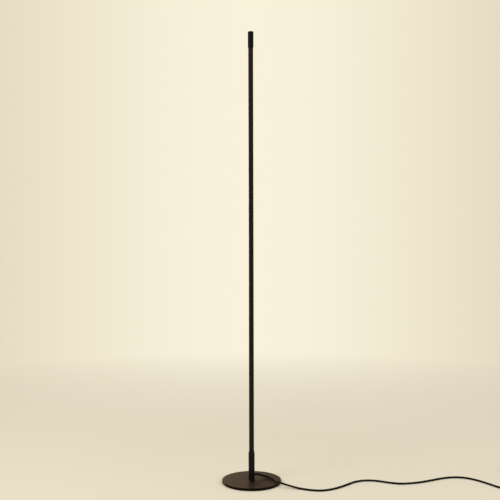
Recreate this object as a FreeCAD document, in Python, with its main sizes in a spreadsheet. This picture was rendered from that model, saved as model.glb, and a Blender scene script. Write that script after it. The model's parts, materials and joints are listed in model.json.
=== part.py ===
import FreeCAD, Part
import math
import operator
import os
from types import SimpleNamespace
import Sketcher
from FreeCAD import Placement, Rotation, Vector

# Led floor lamp: a round steel base, a turned stem, and a slim aluminium column that swivels in it.
# The column carries led boards behind a diffuser on one side only, so turning it aims the light.
# The cord leaves the stem, lies on the floor, passes a foot switch and ends in a plug-in adapter.
# Millimetres, Z up, X to the right, Y away from the viewer, origin under the middle of the base.

# Driving sizes

SIZES = {
    # Base plate, its foam pad, and the bolt that holds the stem
    "plate_dia": 196.5,
    "plate_thick": 7.5,
    "plate_edge": 0.8,
    "pad_thick": 1.5,
    "pad_inset": 3.0,
    "recess_dia": 20.0,
    "recess_deep": 3.7,
    "bolt_dia": 8.0,
    "bolt_gap": 0.25,
    "bolt_head_dia": 13.0,
    "bolt_head_thick": 2.6,
    "bolt_short_of_hub": 1.0,
    "washer_dia": 18.0,
    "washer_thick": 0.9,
    "locating_pin_dia": 2.5,
    "locating_pin_offset": 6.3,
    "locating_pin_long": 9.5,
    # Stem sleeve, its shelf, the hub in its foot and the collar in its mouth
    "sleeve_dia": 20.6,
    "sleeve_bore": 18.0,
    "sleeve_long": 87.5,
    "shelf_height": 25.5,
    "shelf_thick": 3.0,
    "shelf_bore": 9.0,
    "hub_long": 9.5,
    "hub_chamfer": 0.6,
    "collar_depth": 11.0,
    "collar_shoulder": 7.0,
    "collar_top_dia": 17.8,
    "running_gap": 0.05,
    # Swivel: thrust washer, journal with two grooves, stop pin, retaining screw, drag ring
    "thrust_washer_dia": 17.6,
    "thrust_washer_bore": 9.4,
    "thrust_washer_thick": 1.0,
    "journal_long": 24.95,
    "journal_bore": 7.0,
    "stop_groove_deep": 2.5,
    "stop_groove_wide": 4.2,
    "stop_groove_height": 17.95,
    "drag_groove_deep": 1.7,
    "drag_groove_wide": 2.0,
    "drag_groove_height": 6.95,
    "drag_ring_wire": 1.6,
    "drag_ring_gap": 0.05,
    "retaining_screw_dia": 4.0,
    "retaining_dog_dia": 2.4,
    "retaining_dog_clear": 0.3,
    "screw_sunk": 0.1,
    "stop_pin_dia": 2.0,
    "stop_pin_root": 3.7,
    "stop_pin_clear": 0.3,
    "tongue_long": 20.0,
    "tongue_gap": 0.15,
    "journal_screw_dia": 2.5,
    "journal_screw_root": 3.0,
    "journal_screw_head_dia": 4.6,
    "journal_screw_head_thick": 0.6,
    "journal_screw_low": 5.0,
    "journal_screw_spacing": 10.0,
    "screw_head_gap": 0.1,
    # Column: the extruded profile, its board seat, clip lips and diffuser
    "column_dia": 16.4,
    "column_wall": 1.2,
    "column_long": 1433.2,
    "seat_height": 1.0,
    "seat_thick": 1.2,
    "lip_reach": 5.0,
    "lip_low": 2.2,
    "diffuser_thick": 1.2,
    "leg_reach": 4.8,
    "leg_thick": 0.8,
    "barb_reach": 5.35,
    "barb_top": 2.1,
    "barb_flat": 0.3,
    "leg_foot_gap": 0.3,
    # Led boards, chips, resistors and links
    "board_wide": 7.6,
    "board_thick": 1.0,
    "board_gap": 0.5,
    "first_board_height": 44.0,
    "board_to_cap_gap": 4.5,
    "chip_wide": 3.5,
    "chip_high": 2.8,
    "chip_thick": 0.7,
    "resistor_wide": 2.0,
    "resistor_high": 1.25,
    "resistor_thick": 0.5,
    "link_wide": 1.2,
    "link_long": 5.0,
    "link_thick": 0.4,
    "link_offset": 2.5,
    # Top cap and its screw
    "cap_dia": 18.8,
    "cap_long": 54.0,
    "cap_fit_gap": 0.1,
    "cap_mouth_wall": 0.35,
    "cap_taper_long": 5.0,
    "cap_round": 0.8,
    "cap_roof": 3.0,
    "cap_roof_gap": 0.3,
    "cap_screw_dia": 2.5,
    "cap_screw_root": 6.2,
    "cap_screw_height": 27.0,
    # Cord, its grommet and what holds it in the stem
    "cord_dia": 6.4,
    "cord_height": 15.5,
    "grommet_hole_dia": 9.4,
    "grommet_flange_dia": 11.0,
    "grommet_flange_thick": 1.4,
    "grommet_proud": 1.25,
    "grommet_round": 0.7,
    "crimp_dia": 8.4,
    "crimp_long": 2.0,
    "tail_end": 3.2,
    "core_wire_dia": 1.4,
    "core_wire_spread": 1.1,
    "splice_dia": 2.0,
    "splice_low": 3.0,
    "splice_to_shelf_gap": 0.3,
    "lead_gap": 0.3,
    "lead_back": 1.9,
    "lead_on_board_spread": 1.6,
    "lead_over_board": 0.8,
    "lead_on_board_long": 5.0,
    "lead_straight": 14.0,
    "lead_crossing": 10.0,
    "lead_rise": 4.0,
    # Coil of the spare cord and its two ties
    "coil_outer_radius": 39.0,
    "coil_pitch": 7.1,
    "coil_layer_step": 7.1,
    "tie_thick": 0.9,
    "tie_wide": 5.0,
    "tie_gap": 0.3,
    "floor_gap": 0.2,
    # Foot switch
    "switch_long": 78.0,
    "switch_wide": 32.0,
    "switch_top": 20.5,
    "switch_parting": 9.0,
    "switch_wall": 1.8,
    "switch_round": 4.0,
    "switch_bottom_round": 1.5,
    "foot_pad_long": 60.0,
    "foot_pad_wide": 24.0,
    "foot_pad_thick": 0.9,
    "lap_thick": 0.8,
    "lap_deep": 1.2,
    "lap_gap": 0.1,
    "button_dia": 22.0,
    "button_gap": 0.3,
    "button_proud": 2.5,
    "button_round": 1.2,
    "button_roof": 1.8,
    "button_wall": 1.6,
    "button_flange": 1.6,
    "button_flange_thick": 1.5,
    "button_travel": 2.5,
    "button_stem_dia": 4.4,
    "button_stem_gap": 0.3,
    "button_stem_in_core": 1.0,
    "spring_dia": 8.4,
    "spring_wire": 0.7,
    "spring_end_gap": 0.05,
    "core_block_long": 30.0,
    "core_block_wide": 20.0,
    "core_block_top": 13.0,
    "core_block_round": 2.0,
    "boss_dia": 6.4,
    "post_dia": 5.2,
    "post_low": 9.2,
    "boss_long_offset": 24.5,
    "boss_side_offset": 8.6,
    "case_screw_dia": 2.4,
    "case_screw_head_dia": 4.4,
    "case_screw_head_thick": 1.4,
    "case_screw_long": 9.0,
    "case_screw_floor": 1.6,
    "gland_long": 20.0,
    "gland_root_dia": 11.8,
    "gland_tip_dia": 8.4,
    "gland_neck_dia": 9.8,
    "gland_flange_dia": 11.4,
    "gland_flange_thick": 1.2,
    "gland_seat_clear": 0.1,
    "rib_deep": 0.6,
    # Plug-in adapter
    "adapter_long": 72.0,
    "adapter_wide": 38.0,
    "adapter_high": 30.0,
    "adapter_corner": 6.0,
    "adapter_rear_round": 3.0,
    "adapter_wall": 2.0,
    "face_thick": 6.0,
    "face_round": 1.5,
    "face_lip_long": 4.0,
    "face_lip_thick": 1.5,
    "face_lip_gap": 0.1,
    "plug_pin_dia": 4.0,
    "plug_pin_long": 19.0,
    "plug_pin_spacing": 18.6,
    "plug_pin_root": 8.0,
    "plug_pin_core_dia": 2.5,
    "pin_sleeve_dia": 3.5,
    "pin_sleeve_long": 10.0,
    "pin_sleeve_gap": 0.02,
    "plug_pin_round": 1.6,
    "relief_long": 25.0,
    "relief_root_dia": 12.4,
    "relief_tip_dia": 8.6,
    "relief_neck_dia": 10.4,
    "relief_flange_dia": 12.8,
    "relief_height": 10.0,
    "adapter_board_thick": 1.6,
    "adapter_board_low": 5.0,
    "adapter_board_side_gap": 0.2,
    "adapter_board_end_gap": 3.0,
    "transformer_long": 20.0,
    "transformer_wide": 18.0,
    "transformer_high": 15.0,
    "transformer_back": 8.0,
    "capacitor_dia": 8.0,
    "capacitor_high": 13.0,
    "capacitor_side": 7.0,
    "capacitor_front": 14.0,
    # How far a cutting tool runs past the face that it cuts
    "overrun": 1.0,
}

COUNTS = {
    "journal_screw_count": 2,
    "board_count": 3,
    "chips_per_board": 27,
    "resistors_per_board": 9,
    "gland_rib_count": 4,
    "relief_rib_count": 5,
}

# Degrees; an azimuth is turned from X towards Y
ANGLES = {
    "cord_azimuth": 30,
    "diffuser_half_angle": 64,
    "opening_half_angle": 65,
    "stop_pin_azimuth": 270,
    "retaining_azimuth": 90,
}

COIL_TURNS_PER_LAYER = 1.5
COIL_CLIMB_TURNS = 0.5
COIL_START_AZIMUTH = 270
SPRING_TURNS = 4.5

# How much of the shorter run a cord's bend takes, and of a strain relief its plain collar
RUN_SHARE = 0.45
COLLAR_SHARE = 0.2

doc = FreeCAD.newDocument("led_floor_lamp")
sheet = doc.addObject("Spreadsheet::Sheet", "Sizes")
for row, (alias, value) in enumerate({**SIZES, **COUNTS, **ANGLES}.items(), start=1):
    sheet.set(f"A{row}", alias)
    sheet.set(f"B{row}", str(value))
    sheet.setAlias(f"B{row}", alias)
doc.recompute()


# Sizes that carry their formula

OPERATIONS = {"+": operator.add, "-": operator.sub, "*": operator.mul, "/": operator.truediv}


class Size:
    """A value of the sheet, or one worked out from its values, and the formula that binds it."""

    def __init__(self, value, formula):
        self.value = float(value)
        self.formula = formula

    def __add__(self, other):
        return worked_out(self, "+", other)

    def __radd__(self, other):
        return worked_out(other, "+", self)

    def __sub__(self, other):
        return worked_out(self, "-", other)

    def __mul__(self, other):
        return worked_out(self, "*", other)

    def __rmul__(self, other):
        return worked_out(other, "*", self)

    def __truediv__(self, other):
        return worked_out(self, "/", other)

    def __neg__(self):
        return worked_out(0, "-", self)


def number(size):
    return size.value if isinstance(size, Size) else float(size)


def formula(size):
    return size.formula if isinstance(size, Size) else repr(size)


def worked_out(left, sign, right):
    value = OPERATIONS[sign](number(left), number(right))
    return Size(value, f"({formula(left)} {sign} {formula(right)})")


def root(size):
    return Size(math.sqrt(number(size)), f"sqrt({formula(size)})")


def sine(angle):
    return Size(math.sin(math.radians(number(angle))), f"sin({formula(angle)})")


def cosine(angle):
    return Size(math.cos(math.radians(number(angle))), f"cos({formula(angle)})")


def across(radius, height):
    """How far a circle of that radius reaches sideways at that height above its middle."""
    return root(radius * radius - height * height)


s = SimpleNamespace(**{
    alias: Size(value, f"Sizes.{alias}")
    for alias, value in {**SIZES, **COUNTS, **ANGLES}.items()
})


# Document helpers: bodies, sketches and features

sub_parts = []


def bind(target, path, size):
    if isinstance(size, Size):
        target.setExpression(path, size.formula)


def place(part, x=0, y=0, z=0, azimuth=0):
    part.Placement = Placement(
        Vector(number(x), number(y), number(z)), Rotation(Vector(0, 0, 1), number(azimuth))
    )
    bind(part, "Placement.Base.x", x)
    bind(part, "Placement.Base.y", y)
    bind(part, "Placement.Base.z", z)


def new_body(label, x=0, y=0, z=0, azimuth=0):
    body = doc.addObject("PartDesign::Body", label)
    body.Label = label
    body.AllowCompound = True
    place(body, x, y, z, azimuth)
    sub_parts.append(body)
    return body


def origin_feature(body, role):
    return next(item for item in body.Origin.OriginFeatures if item.Role == role)


def new_sketch(body, role, lift=0, azimuth=0):
    """A sketch on an origin plane, lifted along its normal; azimuth turns an upright one."""
    sketch = body.newObject("Sketcher::SketchObject", body.Label + "_sketch")
    sketch.AttachmentSupport = (origin_feature(body, role), "")
    sketch.MapMode = "FlatFace"
    turn = Rotation(Vector(0, 1, 0), number(azimuth))
    lifted = turn.multVec(Vector(0, 0, number(lift)))
    sketch.AttachmentOffset = Placement(lifted, turn)
    if number(azimuth) == 0:
        bind(sketch, "AttachmentOffset.Base.z", lift)
    return sketch


def fix(sketch, kind, item, point, size):
    index = sketch.addConstraint(Sketcher.Constraint(kind, -1, 1, item, point, number(size)))
    if isinstance(size, Size):
        sketch.setExpression(f"Constraints[{index}]", size.formula)


def arc_between(start, stop, radius, turn):
    """The short arc from start to stop, turning left for 1 and right for -1."""
    chord = stop - start
    half = chord.Length / 2
    rise = math.sqrt(max(radius * radius - half * half, 0))
    left = Vector(-chord.y, chord.x, 0).normalize()
    centre = start + chord * 0.5 + left * (rise * turn)
    first, last = (start, stop) if turn > 0 else (stop, start)
    begin = math.atan2(first.y - centre.y, first.x - centre.x)
    end = math.atan2(last.y - centre.y, last.x - centre.x)
    return Part.ArcOfCircle(Part.Circle(centre, Vector(0, 0, 1), radius), begin, end)


def draw_outline(sketch, corners):
    """A closed outline; a corner (x, y, radius, turn) starts an arc, and (x, y) a straight side."""
    spots = [Vector(number(corner[0]), number(corner[1]), 0) for corner in corners]
    sides = []
    for corner, start, stop in zip(corners, spots, spots[1:] + spots[:1]):
        if len(corner) == 2:
            item = sketch.addGeometry(Part.LineSegment(start, stop))
            sides.append((item, 1, 2))
            continue
        radius, turn = corner[2:]
        item = sketch.addGeometry(arc_between(start, stop, number(radius), turn))
        sides.append((item, 1, 2) if turn > 0 else (item, 2, 1))
    for side, following in zip(sides, sides[1:] + sides[:1]):
        join = Sketcher.Constraint("Coincident", side[0], side[2], following[0], following[1])
        sketch.addConstraint(join)
    for corner, side in zip(corners, sides):
        fix(sketch, "DistanceX", side[0], side[1], corner[0])
        fix(sketch, "DistanceY", side[0], side[1], corner[1])
        if len(corner) > 2:
            radius = corner[2]
            index = sketch.addConstraint(Sketcher.Constraint("Radius", side[0], number(radius)))
            sketch.setExpression(f"Constraints[{index}]", radius.formula)


def draw_circle(sketch, x, y, radius):
    centre = Vector(number(x), number(y), 0)
    item = sketch.addGeometry(Part.Circle(centre, Vector(0, 0, 1), number(radius)))
    fix(sketch, "DistanceX", item, 3, x)
    fix(sketch, "DistanceY", item, 3, y)
    index = sketch.addConstraint(Sketcher.Constraint("Radius", item, number(radius)))
    sketch.setExpression(f"Constraints[{index}]", radius.formula)


def turn_round(body, corners, axis="V_Axis"):
    """Turns an outline about the upright (V) or the level (H) axis of the XZ plane."""
    sketch = new_sketch(body, "XZ_Plane")
    draw_outline(sketch, corners)
    feature = body.newObject("PartDesign::Revolution", body.Label + "_turned")
    feature.Profile = sketch
    feature.ReferenceAxis = (sketch, [axis])
    feature.Angle = 360
    return feature


def pad(body, sketch, length, backward=False, midplane=False):
    feature = body.newObject("PartDesign::Pad", body.Label + "_pad")
    feature.Profile = sketch
    feature.Length = number(length)
    bind(feature, "Length", length)
    feature.Reversed = backward
    feature.Midplane = midplane
    return feature


def pocket(body, sketch, length, forward=False, midplane=False):
    """Cuts against the sketch's normal, or along it when forward."""
    feature = body.newObject("PartDesign::Pocket", body.Label + "_cut")
    feature.Profile = sketch
    feature.Length = number(length)
    bind(feature, "Length", length)
    feature.Reversed = forward
    feature.Midplane = midplane
    return feature


def drill_outward(body, azimuth, level, radius, start, length):
    """A radial hole from a distance off the Z axis outward."""
    sketch = new_sketch(body, "YZ_Plane", start, azimuth)
    draw_circle(sketch, 0, level, radius)
    return pocket(body, sketch, length, forward=True)


def repeat_along_z(body, feature, pitch, count):
    pattern = body.newObject("PartDesign::LinearPattern", body.Label + "_row")
    pattern.Originals = [feature]
    pattern.Direction = (origin_feature(body, "Z_Axis"), [""])
    whole = pitch * (count - 1)
    pattern.Length = number(whole)
    pattern.Occurrences = round(number(count))
    bind(pattern, "Length", whole)
    bind(pattern, "Occurrences", count)
    body.Tip = pattern
    return pattern


def round_edges(body, feature, radius, wanted):
    """Rounds the edges of a feature that the test picks."""
    doc.recompute()
    names = [
        f"Edge{index}" for index, edge in enumerate(feature.Shape.Edges, start=1) if wanted(edge)
    ]
    fillet = body.newObject("PartDesign::Fillet", body.Label + "_rounded")
    fillet.Base = (feature, names)
    fillet.Radius = number(radius)
    bind(fillet, "Radius", radius)
    return fillet


def lies_at(edge, axis, size):
    """Whether a whole edge lies at that height or reach along an axis."""
    box = edge.BoundBox
    low = getattr(box, axis + "Min")
    high = getattr(box, axis + "Max")
    return math.isclose(low, number(size), abs_tol=1e-5) and math.isclose(low, high, abs_tol=1e-5)


def rectangle(left, low, right, high):
    return [(left, low), (right, low), (right, high), (left, high)]


def rounded_rectangle(left, low, right, high, radius):
    return [
        (left + radius, low),
        (right - radius, low, radius, 1),
        (right, low + radius),
        (right, high - radius, radius, 1),
        (right - radius, high),
        (left + radius, high, radius, 1),
        (left, high - radius),
        (left, low + radius, radius, 1),
    ]


def stadium(long, wide):
    radius = wide / 2
    straight = long / 2 - radius
    return [
        (straight, -radius, radius, 1),
        (long / 2, 0, radius, 1),
        (straight, radius),
        (-straight, radius, radius, 1),
        (-long / 2, 0, radius, 1),
        (-straight, -radius),
    ]


def turned_ring(label, inner, outer, low, high):
    body = new_body(label)
    turn_round(body, rectangle(inner, low, outer, high))
    return body


def stepped_rod(label, steps, bore=0, level=0, azimuth=0):
    """A rod along a radius of the lamp, from steps (from, to, radius), with a bore if it has one."""
    body = new_body(label, z=level, azimuth=azimuth)
    corners = [(steps[0][0], bore)]
    for begin, end, radius in steps:
        corners += [(begin, radius), (end, radius)]
    corners.append((steps[-1][1], bore))
    turn_round(body, corners, "H_Axis")
    return body


def new_feature(label, shape, x=0, y=0, z=0, azimuth=0):
    feature = doc.addObject("Part::Feature", label)
    feature.Label = label
    feature.Shape = shape
    place(feature, x, y, z, azimuth)
    sub_parts.append(feature)
    return feature


# Tubes along a route

def arc_through_corner(start, corner, stop):
    """The arc that leaves start towards the corner and reaches stop from it."""
    half_turn = (corner - start).getAngle(stop - corner) / 2
    middle = (start + stop) * 0.5
    top = corner + (middle - corner) * (1 / (1 + math.cos(half_turn)))
    return Part.Arc(start, top, stop).toShape()


def rounded_route(points):
    """Straight runs joined by tangent arcs, with the arcs' radii."""
    edges = []
    radii = []
    here = points[0]
    for before, corner, after in zip(points, points[1:], points[2:]):
        came = corner - before
        goes = after - corner
        reach = RUN_SHARE * min(came.Length, goes.Length)
        start = corner - came.normalize() * reach
        stop = corner + goes.normalize() * reach
        edges.append(Part.LineSegment(here, start).toShape())
        edges.append(arc_through_corner(start, corner, stop))
        radii.append(reach / math.tan(came.getAngle(goes) / 2))
        here = stop
    edges.append(Part.LineSegment(here, points[-1]).toShape())
    return Part.Wire(edges), radii


def swept_tube(path, radius):
    """A solid tube along a wire, and how its volume compares with section times length."""
    first = path.OrderedEdges[0]
    heading = first.tangentAt(first.FirstParameter)
    ring = Part.Wire(Part.Circle(first.valueAt(first.FirstParameter), heading, radius).toShape())
    solid = path.makePipeShell([ring], True, False)
    plain = math.pi * radius * radius * path.Length
    return solid, solid.Volume / plain


def tube_along(label, points, size):
    path, radii = rounded_route(points)
    solid, ratio = swept_tube(path, number(size) / 2)
    smallest = min(radii) if radii else 0
    print(f"{label}: {path.Length:.1f} long, least radius {smallest:.1f}, volume {ratio:.5f}")
    return solid


# Heights and radii that several pieces share

plate_low = s.pad_thick
plate_top = plate_low + s.plate_thick
plate_radius = s.plate_dia / 2
recess_top = plate_low + s.recess_deep
bolt_radius = s.bolt_dia / 2
locating_pin_radius = s.locating_pin_dia / 2
hub_top = plate_top + s.hub_long

sleeve_radius = s.sleeve_dia / 2
bore_radius = s.sleeve_bore / 2
sleeve_top = plate_top + s.sleeve_long
shelf_low = plate_top + s.shelf_height
shelf_top = shelf_low + s.shelf_thick
cord_level = plate_top + s.cord_height
cord_radius = s.cord_dia / 2

journal_radius = bore_radius - s.running_gap
journal_low = shelf_top + s.thrust_washer_thick + s.running_gap
journal_top = journal_low + s.journal_long
stop_groove_middle = journal_low + s.stop_groove_height
drag_groove_middle = journal_low + s.drag_groove_height
stop_groove_radius = journal_radius - s.stop_groove_deep
drag_groove_radius = journal_radius - s.drag_groove_deep

column_radius = s.column_dia / 2
inner_radius = column_radius - s.column_wall
column_top = journal_top + s.column_long
seat_low = s.seat_height - s.seat_thick
board_face = s.seat_height + s.board_thick
cap_top = column_top + s.cap_roof_gap + s.cap_roof
cap_low = cap_top - s.cap_long
cap_screw_level = cap_low + s.cap_screw_height
cap_screw_radius = s.cap_screw_dia / 2

first_board_low = journal_top + s.first_board_height
boards_run = cap_low - s.board_to_cap_gap - first_board_low
board_long = (boards_run - s.board_gap * (s.board_count - 1)) / s.board_count
chip_pitch = board_long / s.chips_per_board


# Base

def make_base_plate():
    body = new_body("base_plate")
    hole = bolt_radius + s.bolt_gap
    turn_round(body, [
        (s.recess_dia / 2, plate_low),
        (plate_radius - s.plate_edge, plate_low, s.plate_edge, 1),
        (plate_radius, plate_low + s.plate_edge),
        (plate_radius, plate_top - s.plate_edge, s.plate_edge, 1),
        (plate_radius - s.plate_edge, plate_top),
        (hole, plate_top),
        (hole, recess_top),
        (s.recess_dia / 2, recess_top),
    ])
    sketch = new_sketch(body, "XY_Plane", plate_top)
    draw_circle(sketch, s.locating_pin_offset, 0, locating_pin_radius)
    pocket(body, sketch, s.plate_thick)


def make_base_pad():
    body = new_body("base_pad")
    sketch = new_sketch(body, "XY_Plane")
    draw_circle(sketch, 0, 0, plate_radius - s.pad_inset)
    pad(body, sketch, s.pad_thick)


def make_base_fixings():
    head_top = recess_top - s.washer_thick
    head_low = head_top - s.bolt_head_thick
    bolt_top = hub_top - s.bolt_short_of_hub
    head_radius = s.bolt_head_dia / 2
    bolt = new_body("base_bolt")
    turn_round(bolt, [
        (0, head_low),
        (head_radius, head_low),
        (head_radius, head_top),
        (bolt_radius, head_top),
        (bolt_radius, bolt_top),
        (0, bolt_top),
    ])
    washer_bore = bolt_radius + s.bolt_gap
    turned_ring("base_washer", washer_bore, s.washer_dia / 2, head_top, recess_top)
    pin = new_body("locating_pin", x=s.locating_pin_offset)
    sketch = new_sketch(pin, "XY_Plane", recess_top)
    draw_circle(sketch, 0, 0, locating_pin_radius)
    pad(pin, sketch, s.locating_pin_long)


# Stem

def make_stem_hub():
    body = new_body("stem_hub")
    turn_round(body, [
        (bolt_radius, plate_top),
        (bore_radius, plate_top),
        (bore_radius, hub_top - s.hub_chamfer),
        (bore_radius - s.hub_chamfer, hub_top),
        (bolt_radius, hub_top),
    ])
    sketch = new_sketch(body, "XY_Plane", recess_top)
    draw_circle(sketch, s.locating_pin_offset, 0, locating_pin_radius)
    pocket(body, sketch, s.locating_pin_long, forward=True)


def make_stem_sleeve():
    body = new_body("stem_sleeve")
    turn_round(body, [
        (bore_radius, plate_top),
        (sleeve_radius, plate_top),
        (sleeve_radius, sleeve_top),
        (bore_radius, sleeve_top),
        (bore_radius, shelf_top),
        (s.shelf_bore / 2, shelf_top),
        (s.shelf_bore / 2, shelf_low),
        (bore_radius, shelf_low),
    ])
    drill_outward(
        body, s.cord_azimuth, cord_level, s.grommet_hole_dia / 2, 0, sleeve_radius + s.overrun
    )
    drill_outward(
        body, s.retaining_azimuth, stop_groove_middle, s.retaining_screw_dia / 2,
        0, sleeve_radius + s.overrun
    )


def make_swivel_collar():
    body = new_body("swivel_collar")
    inner = column_radius + s.running_gap
    low = sleeve_top - s.collar_depth
    top = sleeve_top + s.collar_shoulder
    turn_round(body, [
        (inner, low),
        (bore_radius, low),
        (bore_radius, sleeve_top),
        (sleeve_radius, sleeve_top),
        (s.collar_top_dia / 2, top),
        (inner, top),
    ])


def make_retaining_screw():
    dog_tip = stop_groove_radius + s.retaining_dog_clear
    stepped_rod(
        "retaining_screw",
        [
            (dog_tip, bore_radius, s.retaining_dog_dia / 2),
            (bore_radius, sleeve_radius - s.screw_sunk, s.retaining_screw_dia / 2),
        ],
        level=stop_groove_middle,
        azimuth=s.retaining_azimuth,
    )


def make_cord_entry():
    """The grommet, the crimped ring behind it, the cord's tail, its two core wires and splices."""
    flange_radius = s.grommet_flange_dia / 2
    flange_face = across(bore_radius, flange_radius)
    flange_back = flange_face - s.grommet_flange_thick
    neck_radius = s.grommet_hole_dia / 2
    mouth = sleeve_radius + s.grommet_proud
    grommet = new_body("cord_grommet", z=cord_level, azimuth=s.cord_azimuth)
    turn_round(grommet, [
        (flange_back, cord_radius),
        (mouth, cord_radius),
        (mouth, neck_radius - s.grommet_round, s.grommet_round, 1),
        (mouth - s.grommet_round, neck_radius),
        (flange_face, neck_radius),
        (flange_face, flange_radius),
        (flange_back, flange_radius),
    ], "H_Axis")
    crimp_step = (flange_back - s.crimp_long, flange_back, s.crimp_dia / 2)
    stepped_rod("cord_crimp", [crimp_step], cord_radius, cord_level, s.cord_azimuth)
    stepped_rod("cord_tail", [(s.tail_end, mouth, cord_radius)], 0, cord_level, s.cord_azimuth)

    spread = number(s.core_wire_spread)
    splice_low = cord_level + s.splice_low
    wires = []
    for side in (-spread, spread):
        route = [
            Vector(number(s.tail_end), side, 0),
            Vector(0, side, 0),
            Vector(0, side, number(s.splice_low)),
        ]
        wires.append(tube_along("cord_core_wires", route, s.core_wire_dia))
    new_feature("cord_core_wires", Part.Compound(wires), z=cord_level, azimuth=s.cord_azimuth)
    splices = new_body("lead_splices", azimuth=s.cord_azimuth)
    sketch = new_sketch(splices, "XY_Plane", splice_low)
    for side in (-s.core_wire_spread, s.core_wire_spread):
        draw_circle(sketch, 0, side, s.splice_dia / 2)
    pad(splices, sketch, shelf_low - s.splice_to_shelf_gap - splice_low)


# Swivel

def make_thrust_washer():
    inner = s.thrust_washer_bore / 2
    outer = s.thrust_washer_dia / 2
    turned_ring("thrust_washer", inner, outer, shelf_top, shelf_top + s.thrust_washer_thick)


def make_column_journal():
    """A turned journal with a groove for the drag ring and one for the stop, and a half tongue."""
    body = new_body("column_journal")
    bore = s.journal_bore / 2
    drag_low = drag_groove_middle - s.drag_groove_wide / 2
    drag_high = drag_groove_middle + s.drag_groove_wide / 2
    stop_low = stop_groove_middle - s.stop_groove_wide / 2
    stop_high = stop_groove_middle + s.stop_groove_wide / 2
    turn_round(body, [
        (bore, journal_low),
        (journal_radius, journal_low),
        (journal_radius, drag_low),
        (drag_groove_radius, drag_low),
        (drag_groove_radius, drag_high),
        (journal_radius, drag_high),
        (journal_radius, stop_low),
        (stop_groove_radius, stop_low),
        (stop_groove_radius, stop_high),
        (journal_radius, stop_high),
        (journal_radius, journal_top),
        (bore, journal_top),
    ])
    tongue_radius = inner_radius - s.tongue_gap
    tongue_face = seat_low - s.tongue_gap
    side = across(tongue_radius, tongue_face)
    tongue = new_sketch(body, "XY_Plane", journal_top)
    draw_outline(tongue, [
        (side, tongue_face, tongue_radius, -1),
        (0, -tongue_radius, tongue_radius, -1),
        (-side, tongue_face),
    ])
    pad(body, tongue, s.tongue_long)
    drill_outward(
        body, s.stop_pin_azimuth, stop_groove_middle, s.stop_pin_dia / 2,
        s.stop_pin_root, journal_radius
    )
    for level in journal_screw_levels():
        drill_outward(
            body, s.stop_pin_azimuth, level, s.journal_screw_dia / 2,
            s.journal_screw_root, journal_radius
        )


def journal_screw_levels():
    first = journal_top + s.journal_screw_low
    return [first + s.journal_screw_spacing * row for row in range(COUNTS["journal_screw_count"])]


def make_swivel_fixings():
    tip = journal_radius - s.stop_pin_clear
    stepped_rod(
        "stop_pin", [(s.stop_pin_root, tip, s.stop_pin_dia / 2)],
        level=stop_groove_middle, azimuth=s.stop_pin_azimuth
    )
    head_out = column_radius - s.screw_head_gap
    head_in = head_out - s.journal_screw_head_thick
    screws = stepped_rod(
        "journal_screws",
        [
            (s.journal_screw_root, head_in, s.journal_screw_dia / 2),
            (head_in, head_out, s.journal_screw_head_dia / 2),
        ],
        level=journal_screw_levels()[0],
        azimuth=s.stop_pin_azimuth,
    )
    repeat_along_z(screws, screws.Tip, s.journal_screw_spacing, s.journal_screw_count)
    ring = new_body("drag_ring")
    wire_radius = s.drag_ring_wire / 2
    middle = drag_groove_radius + s.drag_ring_gap + wire_radius
    sketch = new_sketch(ring, "XZ_Plane")
    draw_circle(sketch, middle, drag_groove_middle, wire_radius)
    feature = ring.newObject("PartDesign::Revolution", "drag_ring_turned")
    feature.Profile = sketch
    feature.ReferenceAxis = (sketch, ["V_Axis"])
    feature.Angle = 360


# Column

def make_column_profile():
    """An extruded C with a board seat across it and a lip on each side that holds the diffuser."""
    body = new_body("column_profile")
    edge_x = sine(s.opening_half_angle)
    edge_y = cosine(s.opening_half_angle)
    seat_side = across(inner_radius, s.seat_height)
    groove_side = across(inner_radius, s.lip_low)
    duct_side = across(inner_radius, seat_low)
    sketch = new_sketch(body, "XY_Plane", journal_top)
    draw_outline(sketch, [
        (column_radius * edge_x, column_radius * edge_y),
        (inner_radius * edge_x, inner_radius * edge_y),
        (s.lip_reach, inner_radius * edge_y),
        (s.lip_reach, s.lip_low),
        (groove_side, s.lip_low, inner_radius, -1),
        (seat_side, s.seat_height),
        (-seat_side, s.seat_height, inner_radius, -1),
        (-groove_side, s.lip_low),
        (-s.lip_reach, s.lip_low),
        (-s.lip_reach, inner_radius * edge_y),
        (-inner_radius * edge_x, inner_radius * edge_y),
        (-column_radius * edge_x, column_radius * edge_y, column_radius, 1),
        (0, -column_radius, column_radius, 1),
    ])
    draw_outline(sketch, [
        (duct_side, seat_low, inner_radius, -1),
        (0, -inner_radius, inner_radius, -1),
        (-duct_side, seat_low),
    ])
    pad(body, sketch, s.column_long)
    head_seat = column_radius - s.screw_head_gap - s.journal_screw_head_thick
    for level in journal_screw_levels():
        screw_hole = s.journal_screw_dia / 2
        drill_outward(
            body, s.stop_pin_azimuth, level, screw_hole, s.journal_screw_root, column_radius
        )
        head_hole = s.journal_screw_head_dia / 2 + s.screw_head_gap
        drill_outward(body, s.stop_pin_azimuth, level, head_hole, head_seat, column_radius)
    drill_outward(body, 0, cap_screw_level, cap_screw_radius, s.cap_screw_root, column_radius)


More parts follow.
